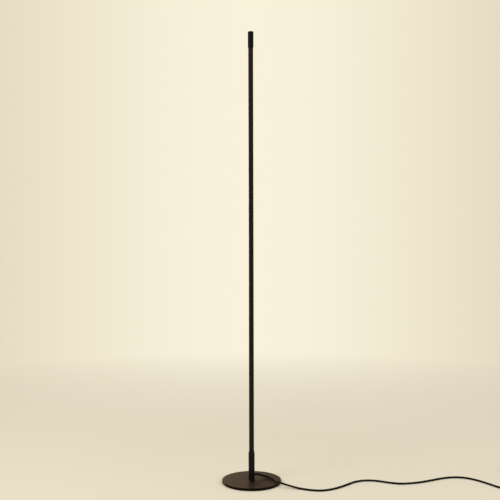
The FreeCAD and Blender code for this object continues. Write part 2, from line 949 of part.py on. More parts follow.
def make_diffuser():
    """An extruded cover, flush with the profile, with two barbed legs behind the profile's lips."""
    body = new_body("diffuser")
    under = column_radius - s.diffuser_thick
    edge_x = sine(s.diffuser_half_angle)
    edge_y = cosine(s.diffuser_half_angle)
    leg_inner = s.leg_reach - s.leg_thick
    foot = s.seat_height + s.leg_foot_gap
    sketch = new_sketch(body, "XY_Plane", journal_top)
    draw_outline(sketch, [
        (column_radius * edge_x, column_radius * edge_y, column_radius, 1),
        (0, column_radius, column_radius, 1),
        (-column_radius * edge_x, column_radius * edge_y),
        (-under * edge_x, under * edge_y, under, -1),
        (-s.leg_reach, across(under, s.leg_reach)),
        (-s.leg_reach, s.barb_top),
        (-s.barb_reach, s.barb_top),
        (-s.barb_reach, s.barb_top - s.barb_flat),
        (-s.leg_reach, foot),
        (-leg_inner, foot),
        (-leg_inner, across(under, leg_inner), under, -1),
        (leg_inner, across(under, leg_inner)),
        (leg_inner, foot),
        (s.leg_reach, foot),
        (s.barb_reach, s.barb_top - s.barb_flat),
        (s.barb_reach, s.barb_top),
        (s.leg_reach, s.barb_top),
        (s.leg_reach, across(under, s.leg_reach), under, -1),
        (under * edge_x, under * edge_y),
    ])
    pad(body, sketch, s.column_long)


def board_level(index):
    return first_board_low + (board_long + s.board_gap) * index


def surface_block(body, left, low, wide, high, thick):
    """A block that stands on the boards' faces, towards Y."""
    sketch = new_sketch(body, "XZ_Plane", -board_face)
    draw_outline(sketch, rectangle(left, low, left + wide, low + high))
    return pad(body, sketch, thick, backward=True)


def make_led_boards():
    for index in range(COUNTS["board_count"]):
        board = doc.addObject("Part::Box", f"led_board_{index + 1}")
        board.Label = f"led_board_{index + 1}"
        bind(board, "Length", s.board_wide)
        bind(board, "Width", s.board_thick)
        bind(board, "Height", board_long)
        place(board, -s.board_wide / 2, s.seat_height, board_level(index))
        sub_parts.append(board)
        chips = new_body(f"led_chips_{index + 1}", z=board_level(index))
        first_low = (chip_pitch - s.chip_high) / 2
        chip = surface_block(
            chips, -s.chip_wide / 2, first_low, s.chip_wide, s.chip_high, s.chip_thick
        )
        repeat_along_z(chips, chip, chip_pitch, s.chips_per_board)
        resistors = new_body(f"led_resistors_{index + 1}", z=board_level(index))
        first_low = chip_pitch - s.resistor_high / 2
        resistor = surface_block(
            resistors, -s.resistor_wide / 2, first_low,
            s.resistor_wide, s.resistor_high, s.resistor_thick
        )
        pitch = board_long / s.resistors_per_board
        repeat_along_z(resistors, resistor, pitch, s.resistors_per_board)


def make_board_links():
    """Two soldered bridges over each joint between boards."""
    body = new_body("board_links")
    for joint in range(1, COUNTS["board_count"]):
        middle = board_level(joint) - s.board_gap / 2
        for side in (-1, 1):
            left = s.link_offset * side - s.link_wide / 2
            low = middle - s.link_long / 2
            surface_block(body, left, low, s.link_wide, s.link_long, s.link_thick)


def make_supply_leads():
    """Two wires from the splices, up the journal's bore, onto the lowest board."""
    start = number(shelf_low - s.splice_to_shelf_gap + s.lead_gap)
    straight_top = start + number(s.lead_straight)
    crossed = straight_top + number(s.lead_crossing)
    board_low = number(first_board_low)
    along_board = number(board_face) + number(s.lead_over_board)
    sideways = Rotation(Vector(0, 0, 1), number(s.cord_azimuth))
    tubes = []
    for side in (-1, 1):
        at_splice = sideways.multVec(Vector(0, side * number(s.core_wire_spread), 0))
        flank = -side * number(s.core_wire_spread)
        on_board = -side * number(s.lead_on_board_spread)
        route = [
            at_splice + Vector(0, 0, start),
            at_splice + Vector(0, 0, straight_top),
            Vector(flank, number(s.lead_back), crossed),
            Vector(flank, number(s.lead_back), board_low - number(s.lead_rise)),
            Vector(on_board, along_board, board_low),
            Vector(on_board, along_board, board_low + number(s.lead_on_board_long)),
        ]
        tubes.append(tube_along("supply_leads", route, s.core_wire_dia))
    new_feature("supply_leads", Part.Compound(tubes))


def make_top_cap():
    body = new_body("top_cap")
    cap_radius = s.cap_dia / 2
    inner = column_radius + s.cap_fit_gap
    turn_round(body, [
        (inner, cap_low),
        (inner + s.cap_mouth_wall, cap_low),
        (cap_radius, cap_low + s.cap_taper_long),
        (cap_radius, cap_top - s.cap_round, s.cap_round, 1),
        (cap_radius - s.cap_round, cap_top),
        (0, cap_top),
        (0, cap_top - s.cap_roof),
        (inner, cap_top - s.cap_roof),
    ])
    drill_outward(body, 0, cap_screw_level, cap_screw_radius, s.cap_screw_root, cap_radius)
    tip = s.cap_screw_root
    steps = [(tip, cap_radius - s.screw_sunk, cap_screw_radius)]
    stepped_rod("cap_screw", steps, level=cap_screw_level)


# Foot switch, about the middle of its own footprint on the floor

switch_low = s.floor_gap + s.foot_pad_thick
switch_half = s.switch_long / 2
button_top = s.switch_top + s.button_proud
button_inner_top = button_top - s.button_roof
switch_ceiling = s.switch_top - s.switch_wall
flange_top = switch_ceiling - s.button_gap
button_stem_low = s.core_block_top - s.button_stem_in_core


def inset_stadium(inset):
    return stadium(s.switch_long - inset * 2, s.switch_wide - inset * 2)


def boss_places():
    return [(-s.boss_long_offset, s.boss_side_offset), (s.boss_long_offset, -s.boss_side_offset)]


def drill_along_x(body, level, radius, length):
    sketch = new_sketch(body, "YZ_Plane")
    draw_circle(sketch, 0, level, radius)
    return pocket(body, sketch, length, midplane=True)


def add_outline_pad(body, corners, low, height):
    sketch = new_sketch(body, "XY_Plane", low)
    draw_outline(sketch, corners)
    return pad(body, sketch, height)


def add_outline_pocket(body, corners, low, height):
    sketch = new_sketch(body, "XY_Plane", low)
    draw_outline(sketch, corners)
    return pocket(body, sketch, height, forward=True)


def make_switch_lower_shell(x, y):
    body = new_body("switch_lower_shell", x, y)
    block = add_outline_pad(body, inset_stadium(0), switch_low, s.switch_parting - switch_low)
    round_edges(body, block, s.switch_bottom_round, lambda edge: lies_at(edge, "Z", switch_low))
    floor = switch_low + s.switch_wall
    add_outline_pocket(
        body, inset_stadium(s.switch_wall), floor, s.switch_parting - floor + s.overrun
    )
    lap_inset = s.switch_wall - s.lap_thick - s.lap_gap
    lap_low = s.switch_parting - s.lap_deep - s.lap_gap
    add_outline_pocket(body, inset_stadium(lap_inset), lap_low, s.lap_deep + s.overrun)
    bosses = new_sketch(body, "XY_Plane", floor)
    for boss_x, boss_y in boss_places():
        draw_circle(bosses, boss_x, boss_y, s.boss_dia / 2)
    pad(body, bosses, s.switch_parting - floor)
    holes = new_sketch(body, "XY_Plane", switch_low)
    for boss_x, boss_y in boss_places():
        draw_circle(holes, boss_x, boss_y, s.case_screw_dia / 2)
    pocket(body, holes, s.switch_parting, forward=True)
    heads = new_sketch(body, "XY_Plane", switch_low)
    for boss_x, boss_y in boss_places():
        draw_circle(heads, boss_x, boss_y, s.case_screw_head_dia / 2)
    pocket(body, heads, s.case_screw_floor, forward=True)
    drill_along_x(body, s.switch_parting, s.gland_neck_dia / 2, s.switch_long + s.overrun)


def make_switch_upper_shell(x, y):
    body = new_body("switch_upper_shell", x, y)
    height = s.switch_top - s.switch_parting
    block = add_outline_pad(body, inset_stadium(0), s.switch_parting, height)
    round_edges(body, block, s.switch_round, lambda edge: lies_at(edge, "Z", s.switch_top))
    add_outline_pad(
        body, inset_stadium(s.switch_wall - s.lap_thick), s.switch_parting - s.lap_deep, s.lap_deep
    )
    low = s.switch_parting - s.lap_deep
    add_outline_pocket(body, inset_stadium(s.switch_wall), low, switch_ceiling - low)
    posts = new_sketch(body, "XY_Plane", s.post_low)
    for boss_x, boss_y in boss_places():
        draw_circle(posts, boss_x, boss_y, s.post_dia / 2)
    pad(body, posts, switch_ceiling - s.post_low)
    pilots = new_sketch(body, "XY_Plane", s.post_low)
    for boss_x, boss_y in boss_places():
        draw_circle(pilots, boss_x, boss_y, s.case_screw_dia / 2)
    pocket(body, pilots, s.case_screw_long, forward=True)
    opening = new_sketch(body, "XY_Plane", s.switch_top)
    draw_circle(opening, 0, 0, s.button_dia / 2 + s.button_gap)
    pocket(body, opening, s.switch_wall + s.overrun)
    drill_along_x(body, s.switch_parting, s.gland_neck_dia / 2, s.switch_long + s.overrun)


def make_switch_button(x, y):
    body = new_body("switch_button", x, y)
    radius = s.button_dia / 2
    hollow = radius - s.button_wall
    flange = radius + s.button_flange
    stem = s.button_stem_dia / 2
    flange_low = flange_top - s.button_flange_thick
    turn_round(body, [
        (0, button_stem_low),
        (stem, button_stem_low),
        (stem, button_inner_top),
        (hollow, button_inner_top),
        (hollow, flange_low),
        (flange, flange_low),
        (flange, flange_top),
        (radius, flange_top),
        (radius, button_top - s.button_round, s.button_round, 1),
        (radius - s.button_round, button_top),
        (0, button_top),
    ])


def make_switch_core(x, y):
    body = new_body("switch_core", x, y)
    low = switch_low + s.switch_wall
    half_long = s.core_block_long / 2
    half_wide = s.core_block_wide / 2
    outline = rounded_rectangle(-half_long, -half_wide, half_long, half_wide, s.core_block_round)
    add_outline_pad(body, outline, low, s.core_block_top - low)
    sketch = new_sketch(body, "XY_Plane", s.core_block_top)
    draw_circle(sketch, 0, 0, s.button_stem_dia / 2 + s.button_stem_gap)
    pocket(body, sketch, s.button_stem_in_core + s.button_travel + s.button_stem_gap)


def make_switch_spring(x, y):
    """A coil spring round the button's stem, from the core to the button's roof."""
    wire_radius = number(s.spring_wire) / 2
    radius = number(s.spring_dia) / 2
    low = number(s.core_block_top + s.spring_end_gap) + wire_radius
    high = number(button_inner_top - s.spring_end_gap) - wire_radius
    steps = round(SPRING_TURNS * 4)

    def place_at(turns):
        angle = 2 * math.pi * turns
        height = low + (high - low) * turns / SPRING_TURNS
        return Vector(radius * math.cos(angle), radius * math.sin(angle), height)

    def heading_at(turns):
        angle = 2 * math.pi * turns
        climb = (high - low) / SPRING_TURNS
        around = 2 * math.pi * radius
        return Vector(-around * math.sin(angle), around * math.cos(angle), climb).normalize()

    marks = [SPRING_TURNS * step / steps for step in range(steps + 1)]
    edges = biarcs([(place_at(mark), heading_at(mark)) for mark in marks])
    solid, ratio = swept_tube(Part.Wire(edges), wire_radius)
    print(f"switch_spring: volume {ratio:.5f}")
    new_feature("switch_spring", solid, x, y)


def make_switch_small_parts(x, y):
    foot = new_body("switch_foot_pad", x, y)
    add_outline_pad(foot, stadium(s.foot_pad_long, s.foot_pad_wide), s.floor_gap, s.foot_pad_thick)
    screws = new_body("switch_screws", x, y)
    head_top = switch_low + s.case_screw_floor
    heads = new_sketch(screws, "XY_Plane", head_top)
    shanks = new_sketch(screws, "XY_Plane", head_top)
    for boss_x, boss_y in boss_places():
        draw_circle(heads, boss_x, boss_y, s.case_screw_head_dia / 2)
        draw_circle(shanks, boss_x, boss_y, s.case_screw_dia / 2)
    pad(screws, heads, s.case_screw_head_thick, backward=True)
    pad(screws, shanks, s.case_screw_long)
    wires = new_body("switch_core_wires", x, y)
    half_block = s.core_block_long / 2
    reach = cord_end_in_switch - half_block
    for begin in (half_block, -half_block - reach):
        sketch = new_sketch(wires, "YZ_Plane", begin)
        for side in (-s.core_wire_spread, s.core_wire_spread):
            draw_circle(sketch, side, s.switch_parting, s.core_wire_dia / 2)
        pad(wires, sketch, reach)


# Strain reliefs, about their own axis, with the housing's outer face at x = 0

def make_relief(label, sizes, x, y, z, azimuth):
    """A tapered sleeve with ribs, and a flange and neck that the housing's wall holds."""
    body = new_body(label, x, y, z, azimuth)
    flange_back = -sizes.seat - s.gland_flange_thick
    taper = (sizes.root_radius - sizes.tip_radius) / sizes.long
    pitch = (sizes.long - sizes.collar) / sizes.rib_count
    corners = [
        (flange_back, cord_radius),
        (sizes.long, cord_radius),
    ]
    ribs = []
    for rib in range(round(number(sizes.rib_count))):
        begin = sizes.collar + pitch * rib
        middle = begin + pitch / 2
        end = begin + pitch
        ribs += [
            (begin, sizes.root_radius - taper * begin - s.rib_deep),
            (middle, sizes.root_radius - taper * middle - s.rib_deep),
            (middle, sizes.root_radius - taper * middle),
            (end, sizes.root_radius - taper * end),
        ]
    corners += reversed(ribs)
    corners += [
        (sizes.collar, sizes.root_radius - taper * sizes.collar),
        (s.gland_seat_clear, sizes.root_radius),
        (s.gland_seat_clear, sizes.neck_radius),
        (-sizes.seat, sizes.neck_radius),
        (-sizes.seat, sizes.flange_radius),
        (flange_back, sizes.flange_radius),
    ]
    turn_round(body, corners, "H_Axis")


def sizes_of_relief(name, seat):
    def size(ending):
        return getattr(s, f"{name}_{ending}")

    return SimpleNamespace(
        long=size("long"),
        root_radius=size("root_dia") / 2,
        tip_radius=size("tip_dia") / 2,
        neck_radius=size("neck_dia") / 2,
        flange_radius=size("flange_dia") / 2,
        seat=seat,
        collar=size("long") * COLLAR_SHARE,
        rib_count=size("rib_count"),
    )


def gland_sizes():
    """The wall's inner face is round, so the flange seats where its own rim meets that face."""
    inner = s.switch_wide / 2 - s.switch_wall
    sagged = s.switch_wide / 2 - across(inner, s.gland_flange_dia / 2)
    return sizes_of_relief("gland", sagged)


cord_end_in_switch = switch_half - gland_sizes().seat - s.gland_flange_thick


# Plug-in adapter, lying on the floor about the middle of its footprint, pins towards X

def adapter_outline(inset):
    half = s.adapter_wide / 2
    low = s.floor_gap
    return rounded_rectangle(
        -half + inset, low + inset, half - inset, low + s.adapter_high - inset,
        s.adapter_corner - inset
    )


adapter_half = s.adapter_long / 2
adapter_seam = adapter_half - s.face_thick


def make_adapter_housing(x, y, azimuth):
    body = new_body("adapter_housing", x, y, azimuth=azimuth)
    outside = new_sketch(body, "YZ_Plane", -adapter_half)
    draw_outline(outside, adapter_outline(0))
    block = pad(body, outside, s.adapter_long - s.face_thick)
    round_edges(body, block, s.adapter_rear_round, lambda edge: lies_at(edge, "X", -adapter_half))
    inside = new_sketch(body, "YZ_Plane", -adapter_half + s.adapter_wall)
    draw_outline(inside, adapter_outline(s.adapter_wall))
    pocket(body, inside, s.adapter_long, forward=True)
    mouth = new_sketch(body, "YZ_Plane", -adapter_half - s.overrun)
    draw_circle(mouth, 0, s.relief_height, s.relief_neck_dia / 2)
    pocket(body, mouth, s.adapter_wall + s.overrun, forward=True)


def pin_places():
    middle = s.floor_gap + s.adapter_high / 2
    return [(-s.plug_pin_spacing / 2, middle), (s.plug_pin_spacing / 2, middle)]


def make_adapter_face(x, y, azimuth):
    body = new_body("adapter_face", x, y, azimuth=azimuth)
    outside = new_sketch(body, "YZ_Plane", adapter_seam)
    draw_outline(outside, adapter_outline(0))
    plate = pad(body, outside, s.face_thick)
    round_edges(body, plate, s.face_round, lambda edge: lies_at(edge, "X", adapter_half))
    lip = new_sketch(body, "YZ_Plane", adapter_seam - s.face_lip_long)
    lip_inset = s.adapter_wall + s.face_lip_gap
    draw_outline(lip, adapter_outline(lip_inset))
    draw_outline(lip, adapter_outline(lip_inset + s.face_lip_thick))
    pad(body, lip, s.face_lip_long)
    holes = new_sketch(body, "YZ_Plane", adapter_seam - s.overrun)
    for pin_y, pin_z in pin_places():
        draw_circle(holes, pin_y, pin_z, s.pin_sleeve_dia / 2)
    pocket(body, holes, s.face_thick + s.overrun * 2, forward=True)


def make_adapter_pins(x, y, azimuth):
    """Two round pins with domed ends, whose thinner roots carry a sleeve through the face."""
    body = new_body("adapter_pins", x, y, azimuth=azimuth)
    shoulder = adapter_half + s.pin_sleeve_long
    roots = new_sketch(body, "YZ_Plane", adapter_half - s.plug_pin_root)
    rods = new_sketch(body, "YZ_Plane", shoulder)
    for pin_y, pin_z in pin_places():
        draw_circle(roots, pin_y, pin_z, s.plug_pin_core_dia / 2)
        draw_circle(rods, pin_y, pin_z, s.plug_pin_dia / 2)
    pad(body, roots, s.plug_pin_root + s.pin_sleeve_long)
    ends = pad(body, rods, s.plug_pin_long - s.pin_sleeve_long)
    tip = adapter_half + s.plug_pin_long
    round_edges(body, ends, s.plug_pin_round, lambda edge: lies_at(edge, "X", tip))
    sleeves = new_body("pin_sleeves", x, y, azimuth=azimuth)
    outline = new_sketch(sleeves, "YZ_Plane", adapter_seam)
    for pin_y, pin_z in pin_places():
        draw_circle(outline, pin_y, pin_z, s.pin_sleeve_dia / 2)
        draw_circle(outline, pin_y, pin_z, s.plug_pin_core_dia / 2 + s.pin_sleeve_gap)
    pad(sleeves, outline, s.face_thick + s.pin_sleeve_long)


def make_adapter_inside(x, y, azimuth):
    """A circuit board with a transformer and two capacitors on it."""
    board = new_body("adapter_board", x, y, azimuth=azimuth)
    half_wide = s.adapter_wide / 2 - s.adapter_wall - s.adapter_board_side_gap
    back = -adapter_half + s.adapter_wall + s.adapter_board_end_gap
    front = adapter_seam - s.adapter_board_end_gap - s.face_lip_long
    low = s.floor_gap + s.adapter_board_low
    top = low + s.adapter_board_thick
    add_outline_pad(board, rectangle(back, -half_wide, front, half_wide), low, top - low)
    core = new_body("adapter_transformer", x, y, azimuth=azimuth)
    half_core = s.transformer_wide / 2
    core_back = -s.transformer_back
    outline = rectangle(core_back, -half_core, core_back + s.transformer_long, half_core)
    add_outline_pad(core, outline, top, s.transformer_high)
    capacitors = new_body("adapter_capacitors", x, y, azimuth=azimuth)
    sketch = new_sketch(capacitors, "XY_Plane", top)
    for side in (-s.capacitor_side, s.capacitor_side):
        draw_circle(sketch, -s.capacitor_front, side, s.capacitor_dia / 2)
    pad(capacitors, sketch, s.capacitor_high)


# Cord

# From the grommet's mouth over the base's rim and along the floor to the foot switch
ROUTE_TO_SWITCH = [
    (10.003, 5.775, 24.5),
    (18, 10.392, 24.5),
    (30, 16.8, 18.8),
    (45, 17.6, 15.3),
    (59, 10.5, 13.3),
    (69, -3.5, 12.9),
    (76, -21.5, 13.7),
    (82.5, -42, 16.2),
    (98, -62, 16.2),
    (121, -71, 10),
    (148, -80, 3.6),
    (181, -98, 3.3),
    (221, -104, 3.3),
    (258, -89, 3.3),
    (289, -65, 3.3),
    (316, -37, 3.3),
    (343, -8, 3.3),
    (381, 8, 3.3),
    (420, 0, 3.3),
    (453, -20, 3.3),
    (490, -33, 3.3),
    (530, -26, 3.3),
    (567, -13, 3.3),
    (601, 6, 3.3),
    (635, 24, 3.3),
    (673, 39, 3.3),
    (714, 37, 3.3),
    (745, 13, 3.3),
    (768, -18, 3.3),
    (787, -49, 3.3),
    (803, -77, 3.3),
    (826, -98, 4.2),
    (857, -106, 9),
    (883, -106, 9),
]

# From the switch's second gland to the coil, measured from that gland's mouth
ROUTE_TO_COIL = [
    (0, 0, 0),
    (18, 0, 0),
    (37.5, 9, -3),
    (48, 28, -5.4),
    (45, 49.5, -5.7),
    (29, 64, -5.1),
    (9, 68, -4.4),
    (-7, 68, -4.4),
]

# From the coil's upper end to the adapter, measured from that end
ROUTE_TO_PLUG = [
    (0, 0, 0),
    (18, 1.04, 0),
    (37.5, 9.5, -4.4),
    (49.5, 27.5, -8),
    (48.8, 48.5, -8.3),
    (36, 64, -5.6),
    (15, 69, -1.6),
    (0, 69, -1.6),
]


def absolute(route, start):
    return [start + Vector(*point) for point in route]


def coil_radius_at(turns):
    """Spirals in, turns back in the half turn of the climb, and spirals out."""
    outer = number(s.coil_outer_radius)
    pitch = number(s.coil_pitch)
    inner = outer - pitch * COIL_TURNS_PER_LAYER
    if turns <= COIL_TURNS_PER_LAYER:
        return outer - pitch * turns
    past = turns - COIL_TURNS_PER_LAYER
    if past <= COIL_CLIMB_TURNS:
        return inner - pitch * past + pitch * past * past / COIL_CLIMB_TURNS
    return inner + pitch * (past - COIL_CLIMB_TURNS)


def coil_height_at(turns):
    past = min(max(turns - COIL_TURNS_PER_LAYER, 0), COIL_CLIMB_TURNS)
    return number(s.coil_layer_step) * (1 - math.cos(math.pi * past / COIL_CLIMB_TURNS)) / 2


def coil_place_at(turns):
    angle = math.radians(COIL_START_AZIMUTH) - 2 * math.pi * turns
    radius = coil_radius_at(turns)
    return Vector(radius * math.cos(angle), radius * math.sin(angle), coil_height_at(turns))


def coil_heading_at(turns):
    step = 1e-5
    before = coil_place_at(max(turns - step, 0))
    return (coil_place_at(turns + step) - before).normalize()


def biarcs(stations):
    """Two tangent arcs from each place and heading to the next."""
    edges = []
    for (start, leaves), (stop, arrives) in zip(stations, stations[1:]):
        span = stop - start
        both = leaves + arrives
        spread = 2 * (1 - leaves.dot(arrives))
        along = span.dot(both)
        reach = (math.sqrt(along * along + spread * span.dot(span)) - along) / spread
        first_corner = start + leaves * reach
        second_corner = stop - arrives * reach
        middle = (first_corner + second_corner) * 0.5
        edges.append(arc_through_corner(start, first_corner, middle))
        edges.append(arc_through_corner(middle, second_corner, stop))
    return edges


def least_self_gap(wire, diameter, skip_share):
    """The least gap between parts of a wound wire that lie further apart along it."""
    points = wire.discretize(Distance=number(diameter) / 4)
    skip = round(len(points) * skip_share)
    nearest = min(
        (one - other).Length
        for index, one in enumerate(points)
        for other in points[index + skip:]
    )
    return nearest - number(diameter)


def make_cord_coil(start):
    """Winds the spare cord from start, which heads towards -X, and gives its far end."""
    total = 2 * COIL_TURNS_PER_LAYER + COIL_CLIMB_TURNS
    quarters = round(total * 4)
    marks = [total * step / quarters for step in range(quarters + 1)]
    stations = [(coil_place_at(mark), coil_heading_at(mark)) for mark in marks]
    straight = number(s.cord_dia)
    first, first_heading = stations[0]
    last, last_heading = stations[-1]
    lead_in = Part.LineSegment(first - first_heading * straight, first).toShape()
    lead_out = Part.LineSegment(last, last + last_heading * straight).toShape()
    path = Part.Wire([lead_in] + biarcs(stations) + [lead_out])
    solid, ratio = swept_tube(path, number(cord_radius))
    half_turn_share = 2 / quarters
    gap = least_self_gap(path, s.cord_dia, half_turn_share)
    print(f"cord_coil: {path.Length:.1f} long, volume {ratio:.5f}, least gap to itself {gap:.2f}")
    turn = 180 - math.degrees(math.atan2(first_heading.y, first_heading.x))
    spin = Rotation(Vector(0, 0, 1), turn)
    centre = start - spin.multVec(first - first_heading * straight)
    feature = new_feature("cord_coil", solid)
    feature.Placement = Placement(centre, spin)
    end = centre + spin.multVec(last + last_heading * straight)
    make_coil_ties(centre, spin)
    return end


def make_coil_ties(centre, spin):
    """Two flat bands round the turns, on opposite sides of the coil."""
    ties = new_body("coil_ties")
    strand_marks = {-1: (0.25, 1.25), 1: (0.75, COIL_TURNS_PER_LAYER + COIL_CLIMB_TURNS / 2)}
    room = cord_radius + s.tie_gap
    for side, (outer_mark, inner_mark) in strand_marks.items():
        outer = Size(coil_radius_at(outer_mark), repr(coil_radius_at(outer_mark)))
        inner = Size(coil_radius_at(inner_mark), repr(coil_radius_at(inner_mark)))
        near = inner - room if side > 0 else -outer - room
        far = outer + room if side > 0 else -inner + room
        high = s.coil_layer_step + room
        band = new_sketch(ties, "XZ_Plane")
        draw_outline(band, rounded_rectangle(
            near - s.tie_thick, -room - s.tie_thick, far + s.tie_thick, high + s.tie_thick, room
        ))
        draw_outline(band, rounded_rectangle(near, -room, far, high, room - s.tie_thick))
        pad(ties, band, s.tie_wide, midplane=True)
    ties.Placement = Placement(centre, spin)


def make_cord_and_its_pieces():
    to_switch = [Vector(*point) for point in ROUTE_TO_SWITCH]
    new_feature("cord_to_switch", tube_along("cord_to_switch", to_switch, s.cord_dia))
    mouth = to_switch[-1]
    glands = gland_sizes()
    switch_x = Size(mouth.x, repr(mouth.x)) + s.gland_long + switch_half
    switch_y = Size(mouth.y, repr(mouth.y))
    make_switch_lower_shell(switch_x, switch_y)
    make_switch_upper_shell(switch_x, switch_y)
    make_switch_button(switch_x, switch_y)
    make_switch_core(switch_x, switch_y)
    make_switch_spring(switch_x, switch_y)
    make_switch_small_parts(switch_x, switch_y)
    near_face = switch_x - switch_half
    far_face = switch_x + switch_half
    make_relief("switch_gland_in", glands, near_face, switch_y, s.switch_parting, 180)
    make_relief("switch_gland_out", glands, far_face, switch_y, s.switch_parting, 0)
    make_cord_stub("cord_in_gland", glands, near_face, switch_y, s.switch_parting, 180)
    make_cord_stub("cord_out_gland", glands, far_face, switch_y, s.switch_parting, 0)

    out_mouth = Vector(number(far_face + s.gland_long), mouth.y, number(s.switch_parting))
    to_coil = absolute(ROUTE_TO_COIL, out_mouth)
    new_feature("cord_to_coil", tube_along("cord_to_coil", to_coil, s.cord_dia))
    coil_end = make_cord_coil(to_coil[-1])
    to_plug = absolute(ROUTE_TO_PLUG, coil_end)
    new_feature("cord_to_plug", tube_along("cord_to_plug", to_plug, s.cord_dia))

    plug_mouth = to_plug[-1]
    face_x = Size(plug_mouth.x, repr(plug_mouth.x)) - s.relief_long
    adapter_x = face_x - adapter_half
    adapter_y = Size(plug_mouth.y, repr(plug_mouth.y))
    reliefs = sizes_of_relief("relief", s.adapter_wall)
    make_adapter_housing(adapter_x, adapter_y, 180)
    make_adapter_face(adapter_x, adapter_y, 180)
    make_adapter_pins(adapter_x, adapter_y, 180)
    make_adapter_inside(adapter_x, adapter_y, 180)
    make_relief("adapter_relief", reliefs, face_x, adapter_y, s.relief_height, 0)
    make_cord_stub("cord_in_adapter", reliefs, face_x, adapter_y, s.relief_height, 0)


def make_cord_stub(label, sizes, x, y, z, azimuth):
    """The straight end of the cord inside a strain relief."""
    body = new_body(label, x, y, z, azimuth)
    begin = -sizes.seat - s.gland_flange_thick
    turn_round(body, rectangle(begin, 0, sizes.long, cord_radius), "H_Axis")


# The whole lamp

make_base_plate()
make_base_pad()
make_base_fixings()
make_stem_hub()
make_stem_sleeve()
make_swivel_collar()
make_retaining_screw()
make_cord_entry()
make_thrust_washer()
make_column_journal()
make_swivel_fixings()
make_column_profile()
make_diffuser()
make_led_boards()
make_board_links()
make_supply_leads()
make_top_cap()
make_cord_and_its_pieces()
doc.recompute()


# Checks and export

for item in doc.Objects:
    if {"Invalid", "Error"} & set(item.State):
        raise RuntimeError(f"{item.Label} failed: {item.State}")

os.makedirs("parts", exist_ok=True)
for part in sub_parts:
    if part.Shape.isNull() or not part.Shape.isValid():
        raise RuntimeError(f"{part.Label} has no valid shape")
    part.Shape.exportStep(f"parts/{part.Label}.step")
print(f"{len(sub_parts)} sub-parts written")
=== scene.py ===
# %% [markdown]
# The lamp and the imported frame
# This notebook dresses a slim led floor lamp: a round base, a short turned stem, a tall black
# column that is lit on the side away from the viewer, and a thin cord that wanders over the floor
# to a foot switch, a tied coil and a plug-in adapter. All of it could be drawn in Blender, but the
# solid pieces come ready made from the frame, each at its real place and in metres. So this file
# makes the soft lines, the small details and the finish of every surface, and it moves nothing that
# comes from the frame.

import json
import math

import bmesh
import bpy
from mathutils import Matrix, Vector


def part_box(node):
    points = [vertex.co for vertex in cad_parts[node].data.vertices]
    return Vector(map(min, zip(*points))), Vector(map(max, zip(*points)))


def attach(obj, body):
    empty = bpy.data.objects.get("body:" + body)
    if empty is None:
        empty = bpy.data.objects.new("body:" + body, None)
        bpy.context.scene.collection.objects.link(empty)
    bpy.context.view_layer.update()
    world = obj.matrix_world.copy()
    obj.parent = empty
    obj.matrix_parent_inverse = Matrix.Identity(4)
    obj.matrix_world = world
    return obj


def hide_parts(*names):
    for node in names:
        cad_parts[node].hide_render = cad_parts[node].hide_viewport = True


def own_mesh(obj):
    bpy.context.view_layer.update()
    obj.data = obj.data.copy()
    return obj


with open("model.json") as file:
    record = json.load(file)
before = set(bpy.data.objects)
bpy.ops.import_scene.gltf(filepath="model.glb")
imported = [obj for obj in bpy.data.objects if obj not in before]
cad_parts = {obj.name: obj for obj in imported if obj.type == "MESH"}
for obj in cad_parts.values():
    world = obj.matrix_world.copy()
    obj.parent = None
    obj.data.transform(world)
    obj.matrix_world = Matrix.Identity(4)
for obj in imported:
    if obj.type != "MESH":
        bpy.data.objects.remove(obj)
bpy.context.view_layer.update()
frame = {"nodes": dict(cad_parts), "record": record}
nodes = frame["nodes"]
MM = 0.001

# %% [markdown]
# The camera
# A camera is fixed by where it stands, where it looks and how wide it sees. It could be pushed about
# until the outlines match, but a few measures of the picture give it outright. The horizon is at
# half the picture's height, so the camera looks level, and the width of the base's ellipse against
# its depth says how high it stands. Blender's lens is the picture's focal length in pixels, brought
# to a sensor of 36 mm. A camera that isn't turned looks straight down, so level is a quarter turn.
# The column stands a hair off upright in the picture, and the camera rolls with it.

# %% Camera
PICTURE_WIDE = 500
FOCAL_PIXELS = 763.8
SENSOR_WIDE = 36.0
CAMERA_PLACE = Vector((-3.7, -2544.2, 773.1)) * MM
CAMERA_LEVEL = math.radians(90)
CAMERA_ROLL = math.radians(0.13)

camera = bpy.data.objects.new("Camera", bpy.data.cameras.new("Camera"))
camera.data.sensor_width = SENSOR_WIDE
camera.data.lens = FOCAL_PIXELS / PICTURE_WIDE * SENSOR_WIDE
camera.location = CAMERA_PLACE
camera.rotation_euler = (CAMERA_LEVEL, CAMERA_ROLL, 0)
bpy.context.collection.objects.link(camera)
bpy.context.scene.camera = camera
bpy.context.scene.view_settings.view_transform = "Standard"
print(f"camera: lens {camera.data.lens:.1f} mm, {CAMERA_PLACE.z:.2f} m above the floor")

# %% [markdown]
# The cord on the floor
# A real cord is stiff enough to make smooth bends and heavy enough to lie flat. A bezier curve could
# draw it, but its handles are easy to set wrong, and a NURBS curve of order 3 has no handles: it
# slides along the runs of its control points and can't kink. The points are listed closer where
# the cord leaves the stem and rides over the base's rim, and wider on the open floor. They are
# in millimetres.

# %% Floor cord
CORD_WIDE = 6.4 * MM
CORD_SIDES_QUARTER = 5
CORD_SMOOTHNESS = 8
CORD_ORDER = 3

